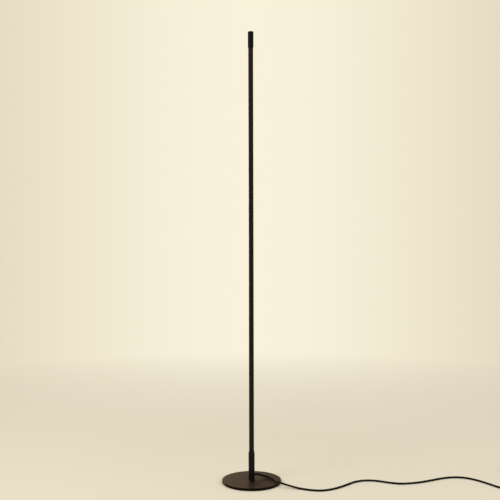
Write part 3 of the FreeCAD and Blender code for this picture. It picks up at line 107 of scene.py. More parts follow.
ROUTE_TO_SWITCH = [
    (10.003, 5.775, 24.5),
    (18, 10.392, 24.5),
    (30, 16.4, 18.8),
    (45.5, 16.6, 14.4),
    (60, 8.6, 13),
    (70.5, -6.5, 12.7),
    (77, -24, 13),
    (83, -43, 14.2),
    (98, -61, 14.2),
    (121, -69, 9.4),
    (148, -76, 3.6),
    (181, -94, 3.3),
    (221, -104, 3.3),
    (258, -89, 3.3),
    (289, -65, 3.3),
    (316, -37, 3.3),
    (343, -8, 3.3),
    (381, 8, 3.3),
    (420, 0, 3.3),
    (453, -20, 3.3),
    (490, -33, 3.3),
    (530, -26, 3.3),
    (567, -13, 3.3),
    (601, 6, 3.3),
    (635, 24, 3.3),
    (673, 39, 3.3),
    (714, 37, 3.3),
    (745, 13, 3.3),
    (768, -18, 3.3),
    (787, -49, 3.3),
    (803, -77, 3.3),
    (826, -98, 4.2),
    (857, -106, 9),
    (883, -106, 9),
]


def smooth_cord(
    name, points, wide=CORD_WIDE, sides_quarter=CORD_SIDES_QUARTER, smoothness=CORD_SMOOTHNESS
):
    """A round cord along control points in metres. Each point's radius sets its thickness."""
    curve = bpy.data.curves.new(name, "CURVE")
    curve.dimensions = "3D"
    curve.use_fill_caps = True
    curve.bevel_depth = 1
    curve.bevel_resolution = sides_quarter
    curve.resolution_u = smoothness
    spline = curve.splines.new("NURBS")
    spline.points.add(len(points) - 1)
    for control, point in zip(spline.points, points):
        control.co = (*point, 1)
        control.radius = wide / 2
    spline.order_u = CORD_ORDER
    spline.use_endpoint_u = True
    cord = bpy.data.objects.new(name, curve)
    bpy.context.collection.objects.link(cord)
    return cord


def in_metres(route, start=Vector((0, 0, 0))):
    """A route that is typed in millimetres from its start, as places in metres."""
    return [start + Vector(point) * MM for point in route]


floor_route = in_metres(ROUTE_TO_SWITCH)
floor_cord = smooth_cord("floor_cord", floor_route)
print(f"floor cord: {len(floor_route)} control points")

# %% [markdown]
# The turns of the coil
# Past the foot switch lies the cord that the lamp's owner has put away: three and a half turns,
# wound inwards on the floor and outwards again on top, because a cord that is wound by hand climbs
# onto itself. A Screw modifier winds turns as well, but as a mesh of its own that can't grow into a
# free end. So the turns come from a formula, a radius that shrinks and grows with the angle and a
# height that rises once, in the half turn between the layers. A straight end on each side lets the
# free cord run in and out smoothly.

# %% Coil turns
COIL_RADIUS = 39 * MM
COIL_PITCH = 7.1 * MM
LAYER_STEP = 7.1 * MM
LAYER_TURNS = 1.5
CLIMB_TURNS = 0.5
COIL_TURNS = 2 * LAYER_TURNS + CLIMB_TURNS
POINTS_PER_TURN = 16


def coil_radius_at(turns):
    inner = COIL_RADIUS - COIL_PITCH * LAYER_TURNS
    past = turns - LAYER_TURNS
    if past <= 0:
        return COIL_RADIUS - COIL_PITCH * turns
    if past <= CLIMB_TURNS:
        return inner - COIL_PITCH * past + COIL_PITCH * past * past / CLIMB_TURNS
    return inner + COIL_PITCH * (past - CLIMB_TURNS)


def coil_height_at(turns):
    climbed = min(max(turns - LAYER_TURNS, 0), CLIMB_TURNS) / CLIMB_TURNS
    return LAYER_STEP * (1 - math.cos(math.pi * climbed)) / 2


def coil_turns():
    """The coil about its own middle, with a straight end each side, and how far to spin it."""
    count = round(COIL_TURNS * POINTS_PER_TURN)
    turns = [COIL_TURNS * step / count for step in range(count + 1)]
    points = []
    for turn in turns:
        angle = -math.pi / 2 - 2 * math.pi * turn
        radius = coil_radius_at(turn)
        points.append(
            Vector((radius * math.cos(angle), radius * math.sin(angle), coil_height_at(turn)))
        )
    inward = math.atan2(COIL_PITCH, 2 * math.pi * COIL_RADIUS)
    enters = Vector((-math.cos(inward), math.sin(inward), 0))
    leaves = Vector((math.cos(inward), math.sin(inward), 0))
    points = [points[0] - enters * CORD_WIDE] + points + [points[-1] + leaves * CORD_WIDE]
    return points, Matrix.Rotation(inward, 4, "Z")


turns_about_middle, spin = coil_turns()
turned = [spin @ point for point in turns_about_middle]
print(f"coil: {COIL_TURNS} turns, {len(turned)} control points")

# %% [markdown]
# The spare cord in one piece
# From the switch the cord runs to the coil, round it, and on to the adapter. Three curves could meet
# end to end, but each joint would show as soon as one of them moved. Here the free runs and the turns
# are control points of one spline, so the cord can't come apart. Each free run is typed from its own
# start, in millimetres, and is laid where the piece before it ends.

# %% Spare cord
ROUTE_TO_COIL = [
    (0, 0, 0),
    (18, 0, 0),
    (37.5, 9, -3),
    (48, 28, -5.4),
    (45, 49.5, -5.7),
    (29, 64, -5.1),
    (9, 68, -4.4),
    (-7, 68, -4.4),
]
ROUTE_TO_PLUG = [
    (0, 0, 0),
    (18, 1.04, 0),
    (37.5, 9.5, -4.4),
    (49.5, 27.5, -8),
    (48.8, 48.5, -8.3),
    (36, 64, -5.6),
    (15, 69, -1.6),
    (0, 69, -1.6),
]
GLAND_LONG = 20 * MM
SWITCH_LONG = 78 * MM

switch_mouth = floor_route[-1] + Vector((2 * GLAND_LONG + SWITCH_LONG, 0, 0))
to_coil = in_metres(ROUTE_TO_COIL, switch_mouth)
coil = [to_coil[-1] + point - turned[0] for point in turned]
to_plug = in_metres(ROUTE_TO_PLUG, coil[-1])
spare_route = to_coil + coil[1:] + to_plug[1:]
spare_cord = smooth_cord("spare_cord", spare_route)
print(f"spare cord: {len(spare_route)} control points, ends at x {to_plug[-1].x:.3f} m")

# %% [markdown]
# The spring under the button
# A spring of thin wire pushes the foot switch's button up again. The frame has it as a stiff solid,
# and the button would cut into that when it is pressed. So it is drawn again as a wire along a rising
# circle, with the cord's own function, and turned into a mesh.

# %% Button spring
SPRING_WIRE = 0.7 * MM
SPRING_TURNS = 4.5
SPRING_POINTS_PER_TURN = 24
SPRING_SIDES_QUARTER = 2
SPRING_SMOOTHNESS = 2


def wire_spring(name, low, high):
    """An upright wire spring that fills the box between two corners."""
    middle = (low + high) / 2
    radius = (high.x - low.x - SPRING_WIRE) / 2
    foot = low.z + SPRING_WIRE / 2
    rise = high.z - low.z - SPRING_WIRE
    count = round(SPRING_TURNS * SPRING_POINTS_PER_TURN)
    points = []
    for step in range(count + 1):
        angle = 2 * math.pi * SPRING_TURNS * step / count
        points.append((
            middle.x + radius * math.cos(angle), middle.y + radius * math.sin(angle),
            foot + rise * step / count,
        ))
    wire = smooth_cord(
        name + "_wire", points, SPRING_WIRE, SPRING_SIDES_QUARTER, SPRING_SMOOTHNESS
    )
    shape = wire.evaluated_get(bpy.context.evaluated_depsgraph_get())
    spring = bpy.data.objects.new(name, bpy.data.meshes.new_from_object(shape))
    bpy.data.objects.remove(wire)
    bpy.context.collection.objects.link(spring)
    return spring


spring_low, spring_high = (Vector(corner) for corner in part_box("switch_spring"))
button_spring = wire_spring("button_spring", spring_low, spring_high)
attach(button_spring, "stand")
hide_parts("switch_spring")
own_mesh(button_spring)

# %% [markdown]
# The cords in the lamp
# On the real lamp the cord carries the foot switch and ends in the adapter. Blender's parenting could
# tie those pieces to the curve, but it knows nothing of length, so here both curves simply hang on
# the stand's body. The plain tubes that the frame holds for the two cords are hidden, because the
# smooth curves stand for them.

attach(floor_cord, "stand")
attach(spare_cord, "stand")
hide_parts("cord_to_switch")
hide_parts("cord_to_coil", "cord_coil", "cord_to_plug")

# %% [markdown]
# Building node trees
# Every finish below is a small tree of shader nodes, which could be wired by hand in the node editor.
# In a script, one helper adds a node, sets its options and joins or fills its inputs in a single
# line, and another starts a node group with named sockets. A group is worth making when several
# finishes share an effect, because it is then drawn once and tuned where it is used.

# %% Node helpers
def add(tree, kind, inputs=None, **options):
    """A new node: its options first, then each input joined to a socket or filled with a value."""
    node = tree.nodes.new(kind)
    for name, value in options.items():
        setattr(node, name, value)
    for name, value in (inputs or {}).items():
        if isinstance(value, bpy.types.NodeSocket):
            tree.links.new(value, node.inputs[name])
        else:
            node.inputs[name].default_value = value
    return node


def start_group(name, inputs, outputs):
    """A node group with number inputs {name: value} and number outputs [name]."""
    group = bpy.data.node_groups.new(name, "ShaderNodeTree")
    for label, value in inputs.items():
        socket = group.interface.new_socket(label, in_out="INPUT", socket_type="NodeSocketFloat")
        socket.default_value = value
    for label in outputs:
        group.interface.new_socket(label, in_out="OUTPUT", socket_type="NodeSocketFloat")
    return group, group.nodes.new("NodeGroupInput"), group.nodes.new("NodeGroupOutput")


print("node helpers ready")

# %% [markdown]
# Places, sums and noise
# A procedural finish needs to know where on the piece it is. Texture coordinates could come from an
# unwrapped map, but the solid pieces have none, and the object's own coordinates in metres need none:
# a scale of 1000 is then one feature per millimetre on every piece alike. Four more helpers read that
# place, do a step of arithmetic, make noise and stretch a value from one span to another.

# %% Value helpers
def object_place(tree):
    return add(tree, "ShaderNodeTexCoord").outputs["Object"]


def calculate(tree, operation, first, second=0.0, clamp=False):
    """One step of arithmetic between sockets or numbers."""
    node = add(
        tree, "ShaderNodeMath", {0: first, 1: second}, operation=operation, use_clamp=clamp
    )
    return node.outputs[0]


def noise(tree, scale, detail=2.0, roughness=0.5):
    node = add(
        tree, "ShaderNodeTexNoise",
        {"Vector": object_place(tree), "Scale": scale, "Detail": detail, "Roughness": roughness},
    )
    return node.outputs["Fac"]


def remap(tree, value, low, high, to_low=0.0, to_high=1.0):
    node = add(
        tree, "ShaderNodeMapRange",
        {"Value": value, "From Min": low, "From Max": high, "To Min": to_low, "To Max": to_high},
    )
    return node.outputs["Result"]


print("value helpers ready")

# %% [markdown]
# Powder coat
# Black powder coat is sprayed dry and melted in an oven, so it sets with a faint orange peel and a
# fine speckle on top. A picture of real paint would repeat along so tall a lamp, and noise never
# does. So both are noise, at different scales: the peel gives a bump that bends the reflections, and
# the speckle adds a little to it and changes the roughness from spot to spot.

# %% Powder coat group
SPECK_IN_RELIEF_SHARE = 0.3


def make_coat_relief():
    group, given, result = start_group(
        "coat_relief", {"Peel scale": 420.0, "Speck scale": 2600.0}, ["Height", "Speck"]
    )
    peel = noise(group, given.outputs["Peel scale"], detail=1.0)
    speck = noise(group, given.outputs["Speck scale"], detail=3.0, roughness=0.7)
    raised = calculate(group, "MULTIPLY", speck, SPECK_IN_RELIEF_SHARE)
    group.links.new(calculate(group, "ADD", peel, raised), result.inputs["Height"])
    group.links.new(speck, result.inputs["Speck"])
    return group


coat_relief = make_coat_relief()
print("group:", coat_relief.name)

# %% [markdown]
# Worn edges
# Handled edges go shiny and a little lighter. Wear could be painted onto the mesh by hand, once for
# every piece, but the Bevel node finds all edges by itself: it bends the normal near an edge, so the
# angle between the bent normal and the true one is a mask of the edges. The dot product is that
# angle's cosine, one on the flat and less at an edge. Noise breaks the mask up, so that it isn't an
# outline.

# %% Edge wear group
FLAT_COSINE = 0.995
EDGE_COSINE = 0.8


def make_edge_wear():
    group, given, result = start_group(
        "edge_wear", {"Radius": 0.0008, "Amount": 1.0, "Break scale": 260.0}, ["Mask"]
    )
    bent = add(group, "ShaderNodeBevel", {"Radius": given.outputs["Radius"]}, samples=4)
    true_normal = add(group, "ShaderNodeNewGeometry").outputs["Normal"]
    cosine = add(
        group, "ShaderNodeVectorMath", {0: bent.outputs["Normal"], 1: true_normal},
        operation="DOT_PRODUCT",
    )
    edge = remap(group, cosine.outputs["Value"], FLAT_COSINE, EDGE_COSINE)
    patches = noise(group, given.outputs["Break scale"], detail=4.0)
    broken = remap(group, patches, low=0.42, high=0.62)
    mask = calculate(group, "MULTIPLY", edge, broken)
    mask = calculate(group, "MULTIPLY", mask, given.outputs["Amount"], clamp=True)
    group.links.new(mask, result.inputs["Mask"])
    return group


edge_wear = make_edge_wear()
print("group:", edge_wear.name)

# %% [markdown]
# Settled dust
# Dust falls from above and lies thickest where nobody wipes. Specks could be scattered as tiny
# meshes, but at this size they are only a paler tone. So its mask is the upward part of the normal,
# with noise at two scales: a wide one for the drift and a fine one for the grain.

# %% Dust group
def make_settled_dust():
    group, given, result = start_group(
        "settled_dust", {"Amount": 0.5, "Drift scale": 14.0, "Grain scale": 1500.0}, ["Mask"]
    )
    normal = add(group, "ShaderNodeNewGeometry").outputs["Normal"]
    upward = add(group, "ShaderNodeSeparateXYZ", {"Vector": normal}).outputs["Z"]
    level = remap(group, upward, low=0.6, high=1.0)
    wide = noise(group, given.outputs["Drift scale"], detail=3.0)
    fine = noise(group, given.outputs["Grain scale"], detail=1.0)
    drift = remap(group, wide, low=0.35, high=0.7, to_low=0.3)
    grain = remap(group, fine, low=0.45, high=0.7, to_low=0.2)
    mask = calculate(group, "MULTIPLY", calculate(group, "MULTIPLY", level, drift), grain)
    mask = calculate(group, "MULTIPLY", mask, given.outputs["Amount"], clamp=True)
    group.links.new(mask, result.inputs["Mask"])
    return group


settled_dust = make_settled_dust()
print("group:", settled_dust.name)

# %% [markdown]
# Moulded grain
# Plastic housings are moulded in spark-eroded steel, which leaves a pebbled skin. Noise alone looks
# like paint, because it has no pebbles. A Voronoi pattern is made of cells, and its smooth form
# rounds them off, so that is the base, with finer noise on it. A second, slow noise marks patches
# where hands have polished the skin.

# %% Moulded grain group
FINE_TO_PEBBLE_SCALE = 2.2


def make_moulded_grain():
    group, given, result = start_group(
        "moulded_grain", {"Pebble scale": 1900.0, "Patch scale": 60.0}, ["Height", "Patch"]
    )
    pebble_scale = given.outputs["Pebble scale"]
    pebbles = add(
        group, "ShaderNodeTexVoronoi", {"Vector": object_place(group), "Scale": pebble_scale},
        feature="SMOOTH_F1",
    )
    fine = noise(group, calculate(group, "MULTIPLY", pebble_scale, FINE_TO_PEBBLE_SCALE))
    height = calculate(group, "ADD", pebbles.outputs["Distance"], fine)
    patch = noise(group, given.outputs["Patch scale"], detail=3.0)
    group.links.new(height, result.inputs["Height"])
    group.links.new(patch, result.inputs["Patch"])
    return group


moulded_grain = make_moulded_grain()
print("group:", moulded_grain.name)

# %% [markdown]
# Turned rings
# A lathe's tool leaves fine rings round the piece, a fraction of a millimetre apart. As geometry they
# would take millions of faces. As bands along the turning axis they take a few nodes: the height
# times the rings per metre, folded up and down between zero and one. A little noise keeps the rings
# from being too even, and a wide one smudges them.

# %% Turned rings group
WOBBLE = 0.6 * MM
WOBBLE_SCALE = 900.0


def make_turned_rings():
    group, given, result = start_group(
        "turned_rings", {"Rings per metre": 2500.0, "Smudge scale": 90.0}, ["Height", "Smudge"]
    )
    up = add(group, "ShaderNodeSeparateXYZ", {"Vector": object_place(group)}).outputs["Z"]
    wobble = calculate(group, "MULTIPLY", noise(group, WOBBLE_SCALE), WOBBLE)
    along = calculate(group, "ADD", up, wobble)
    phase = calculate(group, "MULTIPLY", along, given.outputs["Rings per metre"])
    rings = calculate(group, "PINGPONG", phase, 1.0)
    smudge = noise(group, given.outputs["Smudge scale"], detail=4.0)
    group.links.new(rings, result.inputs["Height"])
    group.links.new(smudge, result.inputs["Smudge"])
    return group


turned_rings = make_turned_rings()
print("group:", turned_rings.name)

# %% [markdown]
# Soft skin and wound layers
# Rubber and foam have small cells and faint scuffs, and tape is wound on in bands. A Voronoi pattern
# would give cells with sharp walls, which suits leather better, so the cells are rough noise. The
# bands are a wave that runs up the piece, bent a little, because nobody winds tape quite level.

# %% Skin and layer groups
def make_soft_skin():
    group, given, result = start_group(
        "soft_skin", {"Cell scale": 1400.0, "Scuff scale": 55.0}, ["Cells", "Scuffs"]
    )
    cells = noise(group, given.outputs["Cell scale"], detail=3.0, roughness=0.65)
    rubbed = noise(group, given.outputs["Scuff scale"], detail=5.0, roughness=0.7)
    scuffs = remap(group, rubbed, low=0.5, high=0.75)
    group.links.new(cells, result.inputs["Cells"])
    group.links.new(scuffs, result.inputs["Scuffs"])
    return group


def make_wound_layers():
    group, given, result = start_group(
        "wound_layers", {"Layer scale": 120.0, "Waviness": 0.6}, ["Layers"]
    )
    bands = add(
        group, "ShaderNodeTexWave",
        {"Vector": object_place(group), "Scale": given.outputs["Layer scale"],
         "Distortion": given.outputs["Waviness"]},
        bands_direction="Z",
    )
    group.links.new(bands.outputs["Fac"], result.inputs["Layers"])
    return group


soft_skin = make_soft_skin()
wound_layers = make_wound_layers()
print("groups:", soft_skin.name, wound_layers.name)

# %% [markdown]
# One way to start a finish
# A finish could be mixed from several simple shaders, but one Principled BSDF does all that this lamp
# needs, with its plain numbers typed on its own sockets. What changes over the surface is joined on
# afterwards: a mask that mixes two colours, a value that moves the roughness, and a height that goes
# through a Bump node, whose distance is the real depth in metres. The Mix node has a set of inputs
# for each kind of data, and its colours are the inputs 6 and 7 and the output 2. Noise hardly ever
# leaves the span from 0.3 to 0.7, so that span drives the roughness.

# %% Finish helpers
NOISE_LOW = 0.3
NOISE_HIGH = 0.7

finishes = {}


def start_finish(slot, colour, roughness, **sockets):
    """A finish whose plain numbers are named like their sockets: metallic, sheen_weight."""
    material = bpy.data.materials.new(slot)
    material.use_nodes = True
    tree = material.node_tree
    shader = tree.nodes["Principled BSDF"]
    shader.inputs["Base Color"].default_value = (*colour, 1)
    shader.inputs["Roughness"].default_value = roughness
    for name, value in sockets.items():
        shader.inputs[name.replace("_", " ").title().replace("Ior", "IOR")].default_value = value
    finishes[slot] = material
    return tree, shader


def shaded(colour, factor, lift=0.0):
    """The colour made darker or lighter, with white as the limit."""
    return tuple(min(channel * factor + lift, 1.0) for channel in colour)


def mix_colours(tree, mask, first, second):
    """Goes from the first colour to the second with the mask; each is a colour or a socket."""
    def as_input(colour):
        return colour if isinstance(colour, bpy.types.NodeSocket) else (*colour, 1)

    node = add(
        tree, "ShaderNodeMix", {"Factor": mask, 6: as_input(first), 7: as_input(second)},
        data_type="RGBA",
    )
    return node.outputs[2]


def join_colour(tree, shader, socket):
    tree.links.new(socket, shader.inputs["Base Color"])


def join_roughness(tree, shader, value, roughness, glossier, duller):
    """Lets noise pull the roughness down by the first amount and up by the second."""
    spread = remap(tree, value, NOISE_LOW, NOISE_HIGH, roughness - glossier, roughness + duller)
    tree.links.new(spread, shader.inputs["Roughness"])


def join_bump(tree, shader, height, depth, strength):
    bump = add(
        tree, "ShaderNodeBump", {"Height": height, "Distance": depth, "Strength": strength}
    )
    tree.links.new(bump.outputs["Normal"], shader.inputs["Normal"])


print("finish helpers ready")

# %% [markdown]
# The painted lamp
# Stem, column and cap wear a plain black powder coat, and the base one with metal flakes in it,
# which looks black from above and bronze at a low angle. A dark base colour alone would stay black
# there, because at a low angle a surface shows what it mirrors. So the base is a dark metal whose
# Specular Tint, the colour of its mirror towards the edge, is bronze. One function makes the paint,
# and each part has its own depth of black, gloss, dust and wear.

# %% Painted finishes
BARE_STEEL = (0.22, 0.20, 0.18)
DUST = (0.34, 0.30, 0.25)
PEEL_DEPTH = 0.02 * MM
SPECK_LIGHTER = 1.35
BRONZE_SHINE = (0.84, 0.73, 0.67, 1)


def powder_coated(slot, colour, roughness, dust, wear, **sockets):
    tree, shader = start_finish(slot, colour, roughness, **sockets)
    relief = add(tree, "ShaderNodeGroup", node_tree=coat_relief)
    worn = add(tree, "ShaderNodeGroup", {"Amount": wear}, node_tree=edge_wear)
    dusty = add(tree, "ShaderNodeGroup", {"Amount": dust}, node_tree=settled_dust)
    speck = relief.outputs["Speck"]
    speckled = mix_colours(tree, speck, colour, shaded(colour, SPECK_LIGHTER))
    with_wear = mix_colours(tree, worn.outputs["Mask"], speckled, BARE_STEEL)
    join_colour(tree, shader, mix_colours(tree, dusty.outputs["Mask"], with_wear, DUST))
    join_roughness(tree, shader, speck, roughness, glossier=0.05, duller=0.07)
    join_bump(tree, shader, relief.outputs["Height"], PEEL_DEPTH, strength=0.3)


powder_coated(
    "base_paint", (0.009, 0.0065, 0.0045), 0.46, dust=0.03, wear=0.2,
    metallic=1.0, specular_tint=BRONZE_SHINE,
)
powder_coated(
    "stem_paint", (0.004, 0.0036, 0.003), 0.42, dust=0.03, wear=0.2, specular_ior_level=0.12
)
powder_coated(
    "column_paint", (0.005, 0.0045, 0.0035), 0.44, dust=0.0, wear=0.1, specular_ior_level=0.13
)
powder_coated(
    "cap_paint", (0.003, 0.003, 0.0025), 0.38, dust=0.04, wear=0.2, specular_ior_level=0.06
)
print("painted:", list(finishes))

# %% [markdown]
# Metal that isn't painted
# Inside the stem are turned and pressed metal pieces, and the adapter's pins are plated. The
# shader's Anisotropic socket could stretch their highlights as turning does, but it needs a tangent
# that runs round every piece. Rings as a bump do the same on any shape, so all of these share one
# function: full metal, fine rings, and smudges that darken it and make its roughness vary. The
# plated pins get wider and shallower rings.

# %% Metal finishes
SMUDGE_DARKER = 0.82


def bare_metal(slot, colour, roughness, rings_per_metre=2500.0, ring_depth=0.004 * MM):
    tree, shader = start_finish(slot, colour, roughness, metallic=1.0)
    rings = add(
        tree, "ShaderNodeGroup", {"Rings per metre": rings_per_metre}, node_tree=turned_rings
    )
    smudge = rings.outputs["Smudge"]
    join_colour(tree, shader, mix_colours(tree, smudge, colour, shaded(colour, SMUDGE_DARKER)))
    join_roughness(tree, shader, smudge, roughness, glossier=0.06, duller=0.1)
    join_bump(tree, shader, rings.outputs["Height"], ring_depth, strength=0.5)


bare_metal("turned_steel", (0.56, 0.56, 0.57), 0.32)
bare_metal("black_screws", (0.06, 0.06, 0.06), 0.38)
bare_metal("turned_aluminium", (0.72, 0.72, 0.74), 0.30)
bare_metal("crimp_brass", (0.75, 0.62, 0.35), 0.30)
bare_metal("solder", (0.78, 0.78, 0.80), 0.22)
bare_metal("spring_steel", (0.60, 0.60, 0.60), 0.25)
bare_metal("pin_metal", (0.80, 0.79, 0.76), 0.16, rings_per_metre=900.0, ring_depth=0.001 * MM)
print("metals ready")

# %% [markdown]
# Moulded plastic
# The switch, its button, the adapter and the small inner pieces are injection moulded. They are dyed
# through and through, so there is no second layer as in paint, and the shader's Coat would make them
# look lacquered. They get the pebbled grain, a slow change of gloss where hands have polished it, and
# a paler scuffed edge. The button's mould is polished finer, so its pebbles are small and shallow,
# and the pieces that no hand touches have no wear.

# %% Plastic finishes
SCUFFED = (0.12, 0.115, 0.11)
PATCH_LIGHTER = 1.25


def moulded(
    slot, colour, roughness, pebble_scale=1900.0, grain_depth=0.03 * MM, wear=0.2, **sockets
):
    tree, shader = start_finish(slot, colour, roughness, **sockets)
    grain = add(tree, "ShaderNodeGroup", {"Pebble scale": pebble_scale}, node_tree=moulded_grain)
    worn = add(tree, "ShaderNodeGroup", {"Amount": wear}, node_tree=edge_wear)
    patch = grain.outputs["Patch"]
    patched = mix_colours(tree, patch, colour, shaded(colour, PATCH_LIGHTER))
    join_colour(tree, shader, mix_colours(tree, worn.outputs["Mask"], patched, SCUFFED))
    join_roughness(tree, shader, patch, roughness, glossier=0.08, duller=0.08)
    join_bump(tree, shader, grain.outputs["Height"], grain_depth, strength=0.4)


moulded("switch_plastic", (0.007, 0.0065, 0.006), 0.46, specular_ior_level=0.3)
moulded(
    "button_plastic", (0.009, 0.0085, 0.008), 0.26, pebble_scale=5200.0, grain_depth=0.008 * MM,
    specular_ior_level=0.4,
)
moulded("adapter_plastic", (0.007, 0.0065, 0.006), 0.48, specular_ior_level=0.3)
moulded("bearing_plastic", (0.80, 0.79, 0.75), 0.35, wear=0.0)
moulded("contact_block", (0.68, 0.65, 0.57), 0.45, wear=0.0)
moulded("component_body", (0.03, 0.03, 0.03), 0.40, wear=0.0)
print("plastics ready")

# %% [markdown]
# Rubber, foam and the cord's sheath
# Soft black things scatter light at grazing angles. A higher roughness alone would grey them all
# over, and a little sheen greys only the edge. The cord's sheath is drawn through a die and comes out
# dead matt, so it has no sheen and hardly any mirror, only faint scuffs from the floor. The foam
# under the base is full of small deep cells.

# %% Soft finishes
SCUFF_LIGHTER = 1.6
SCUFF_LIFT = 0.002


def rubbery(slot, colour, roughness, cell_scale=1400.0, cell_depth=0.04 * MM, **sockets):
    tree, shader = start_finish(slot, colour, roughness, **sockets)
    skin = add(tree, "ShaderNodeGroup", {"Cell scale": cell_scale}, node_tree=soft_skin)
    cells = skin.outputs["Cells"]
    greyer = shaded(colour, SCUFF_LIGHTER, SCUFF_LIFT)
    join_colour(tree, shader, mix_colours(tree, skin.outputs["Scuffs"], colour, greyer))
    join_roughness(tree, shader, cells, roughness, glossier=0.06, duller=0.1)
    join_bump(tree, shader, cells, cell_depth, strength=0.4)


rubbery(
    "cord_sheath", (0.006, 0.005, 0.004), 0.7, cell_scale=900.0, cell_depth=0.02 * MM,
    specular_ior_level=0.06,
)
rubbery(
    "relief_rubber", (0.006, 0.0055, 0.005), 0.55, sheen_weight=0.02, specular_ior_level=0.16
)
rubbery("seal_rubber", (0.006, 0.0055, 0.005), 0.6, sheen_weight=0.03, specular_ior_level=0.14)
rubbery(
    "foam", (0.016, 0.016, 0.016), 0.85, cell_scale=1100.0, cell_depth=0.25 * MM,
    sheen_weight=0.3,
)
print("soft finishes ready")

# %% [markdown]
# Tie bands
# The coil is held by two hook-and-loop bands, whose outer side is covered with tiny loops. Hair
# particles could grow them, but the bands are 5 mm wide and lie on the floor, where single loops are
# too small to see. So the surface is a fine cross weave, two folded waves at right angles, with fuzz
# from noise over it and a little sheen. Its colour is lighter where the weave and fuzz stand higher
# and darker in the hollows between, which is painted shade.

# %% Tie band finish
RIBS_PER_METRE = 2200.0
FUZZ_SCALE = 3000.0
PAINTED_SHADE_CONTRAST = 1.8


def woven_band(slot, colour):
    tree, shader = start_finish(slot, colour, 0.8, sheen_weight=0.12, specular_ior_level=0.2)
    place = add(tree, "ShaderNodeSeparateXYZ", {"Vector": object_place(tree)})
    along = calculate(tree, "MULTIPLY", place.outputs["X"], RIBS_PER_METRE)
    across = calculate(tree, "MULTIPLY", place.outputs["Y"], RIBS_PER_METRE)
    weave = calculate(
        tree, "MULTIPLY", calculate(tree, "PINGPONG", along, 1.0),
        calculate(tree, "PINGPONG", across, 1.0),
    )
    height = calculate(tree, "ADD", weave, noise(tree, FUZZ_SCALE, detail=3.0))
    # Lighter on the raised weave and fuzz, darker in the hollows: painted shade.
    join_colour(tree, shader, mix_colours(tree, height, colour, shaded(colour, PAINTED_SHADE_CONTRAST)))
    join_bump(tree, shader, height, 0.15 * MM, strength=0.6)


woven_band("tie_band", (0.014, 0.013, 0.012))
print("tie bands ready")

# %% [markdown]
# Where the chips sit
# Behind the opal cover stand small yellow chips in a row, on three white boards. Both the cover's
# glow and the chips' own yellow have to know where a chip is. Its place could be typed for each, but
# the chips repeat at an even pitch, so a folded wave finds the nearest one. The wave starts anew on
# each board, because the boards stand a small gap apart.

# %% Chip row
CHIPS_PER_BOARD = 27
CHIP_HIGH = 2.8 * MM
HALF_PITCH = 0.5

chips_low, chips_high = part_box("led_chips_1")
CHIP_PITCH = (chips_high[2] - chips_low[2] - CHIP_HIGH) / (CHIPS_PER_BOARD - 1)
BOARD_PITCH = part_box("led_chips_2")[0][2] - chips_low[2]
ROW_START = chips_low[2] - (CHIP_PITCH - CHIP_HIGH) / 2


def off_chip_middle(tree):
    """How far up or down the nearest chip's middle is, in chip pitches: from zero to a half."""
    up = add(tree, "ShaderNodeSeparateXYZ", {"Vector": object_place(tree)}).outputs["Z"]
    up_board = calculate(tree, "MODULO", calculate(tree, "SUBTRACT", up, ROW_START), BOARD_PITCH)
    chips_up = calculate(tree, "DIVIDE", up_board, CHIP_PITCH)
    off_edge = calculate(tree, "PINGPONG", chips_up, HALF_PITCH)
    return calculate(tree, "SUBTRACT", HALF_PITCH, off_edge)


print(f"chips every {CHIP_PITCH / MM:.2f} mm, boards every {BOARD_PITCH / MM:.2f} mm")

# %% [markdown]
# The lit side
# The opal cover scatters the chips' light so far that only a faint beat of brighter and darker stays
# along it, one for each chip. Lamps behind a cover that lets light through could draw it, but they
# render slowly and with noise, so the glow is a warm emission that follows the beat. It adds to the
# light that falls on the cover, so the plastic's own colour is held down: the two together stay
# below white and keep their warmth.

# %% Diffuser finish
OPAL = (0.46, 0.43, 0.36)
GLOW = (1.0, 0.80, 0.54)
GLOW_STRENGTH = 0.55
BETWEEN_CHIPS_SHARES = (0.97, 0.92, 0.84)
MILKY_SCALE = 300.0


def opal_cover(slot):
    tree, shader = start_finish(slot, OPAL, 0.5, emission_strength=GLOW_STRENGTH)
    beat = calculate(tree, "DIVIDE", off_chip_middle(tree), HALF_PITCH)
    dimmer = tuple(channel * share for channel, share in zip(GLOW, BETWEEN_CHIPS_SHARES))
    tree.links.new(mix_colours(tree, beat, GLOW, dimmer), shader.inputs["Emission Color"])
    milky = noise(tree, MILKY_SCALE)
    join_roughness(tree, shader, milky, 0.5, glossier=0.08, duller=0.08)
    join_bump(tree, shader, milky, 0.02 * MM, strength=0.3)


opal_cover("opal_plastic")
print("diffuser ready")

# %% [markdown]
# Boards and chips
# A led board is aluminium under white solder mask, and each chip is a white package with a yellow
# patch of phosphor in the middle. The patches could be 81 little meshes, but a mask draws them all:
# the distance from the nearest chip's middle, up and sideways, whichever is more, which is a square.
# The adapter's board is green, with copper tracks that a Brick texture lays out well enough for a
# piece inside a closed housing.

# %% Board and chip finishes
BOARD_WHITE = (0.86, 0.86, 0.84)
BOARD_GREY = (0.76, 0.76, 0.73)
FLECK_SCALE = 240.0
CHIP_WHITE = (0.9, 0.9, 0.86)
PHOSPHOR = (0.88, 0.62, 0.12)
PHOSPHOR_FADES_FROM = 1.05 * MM
PHOSPHOR_ENDS = 1.15 * MM
MASK_GREEN = (0.03, 0.16, 0.06)
TRACK_GREEN = (0.07, 0.26, 0.10)
TRACK_SCALE = 160.0


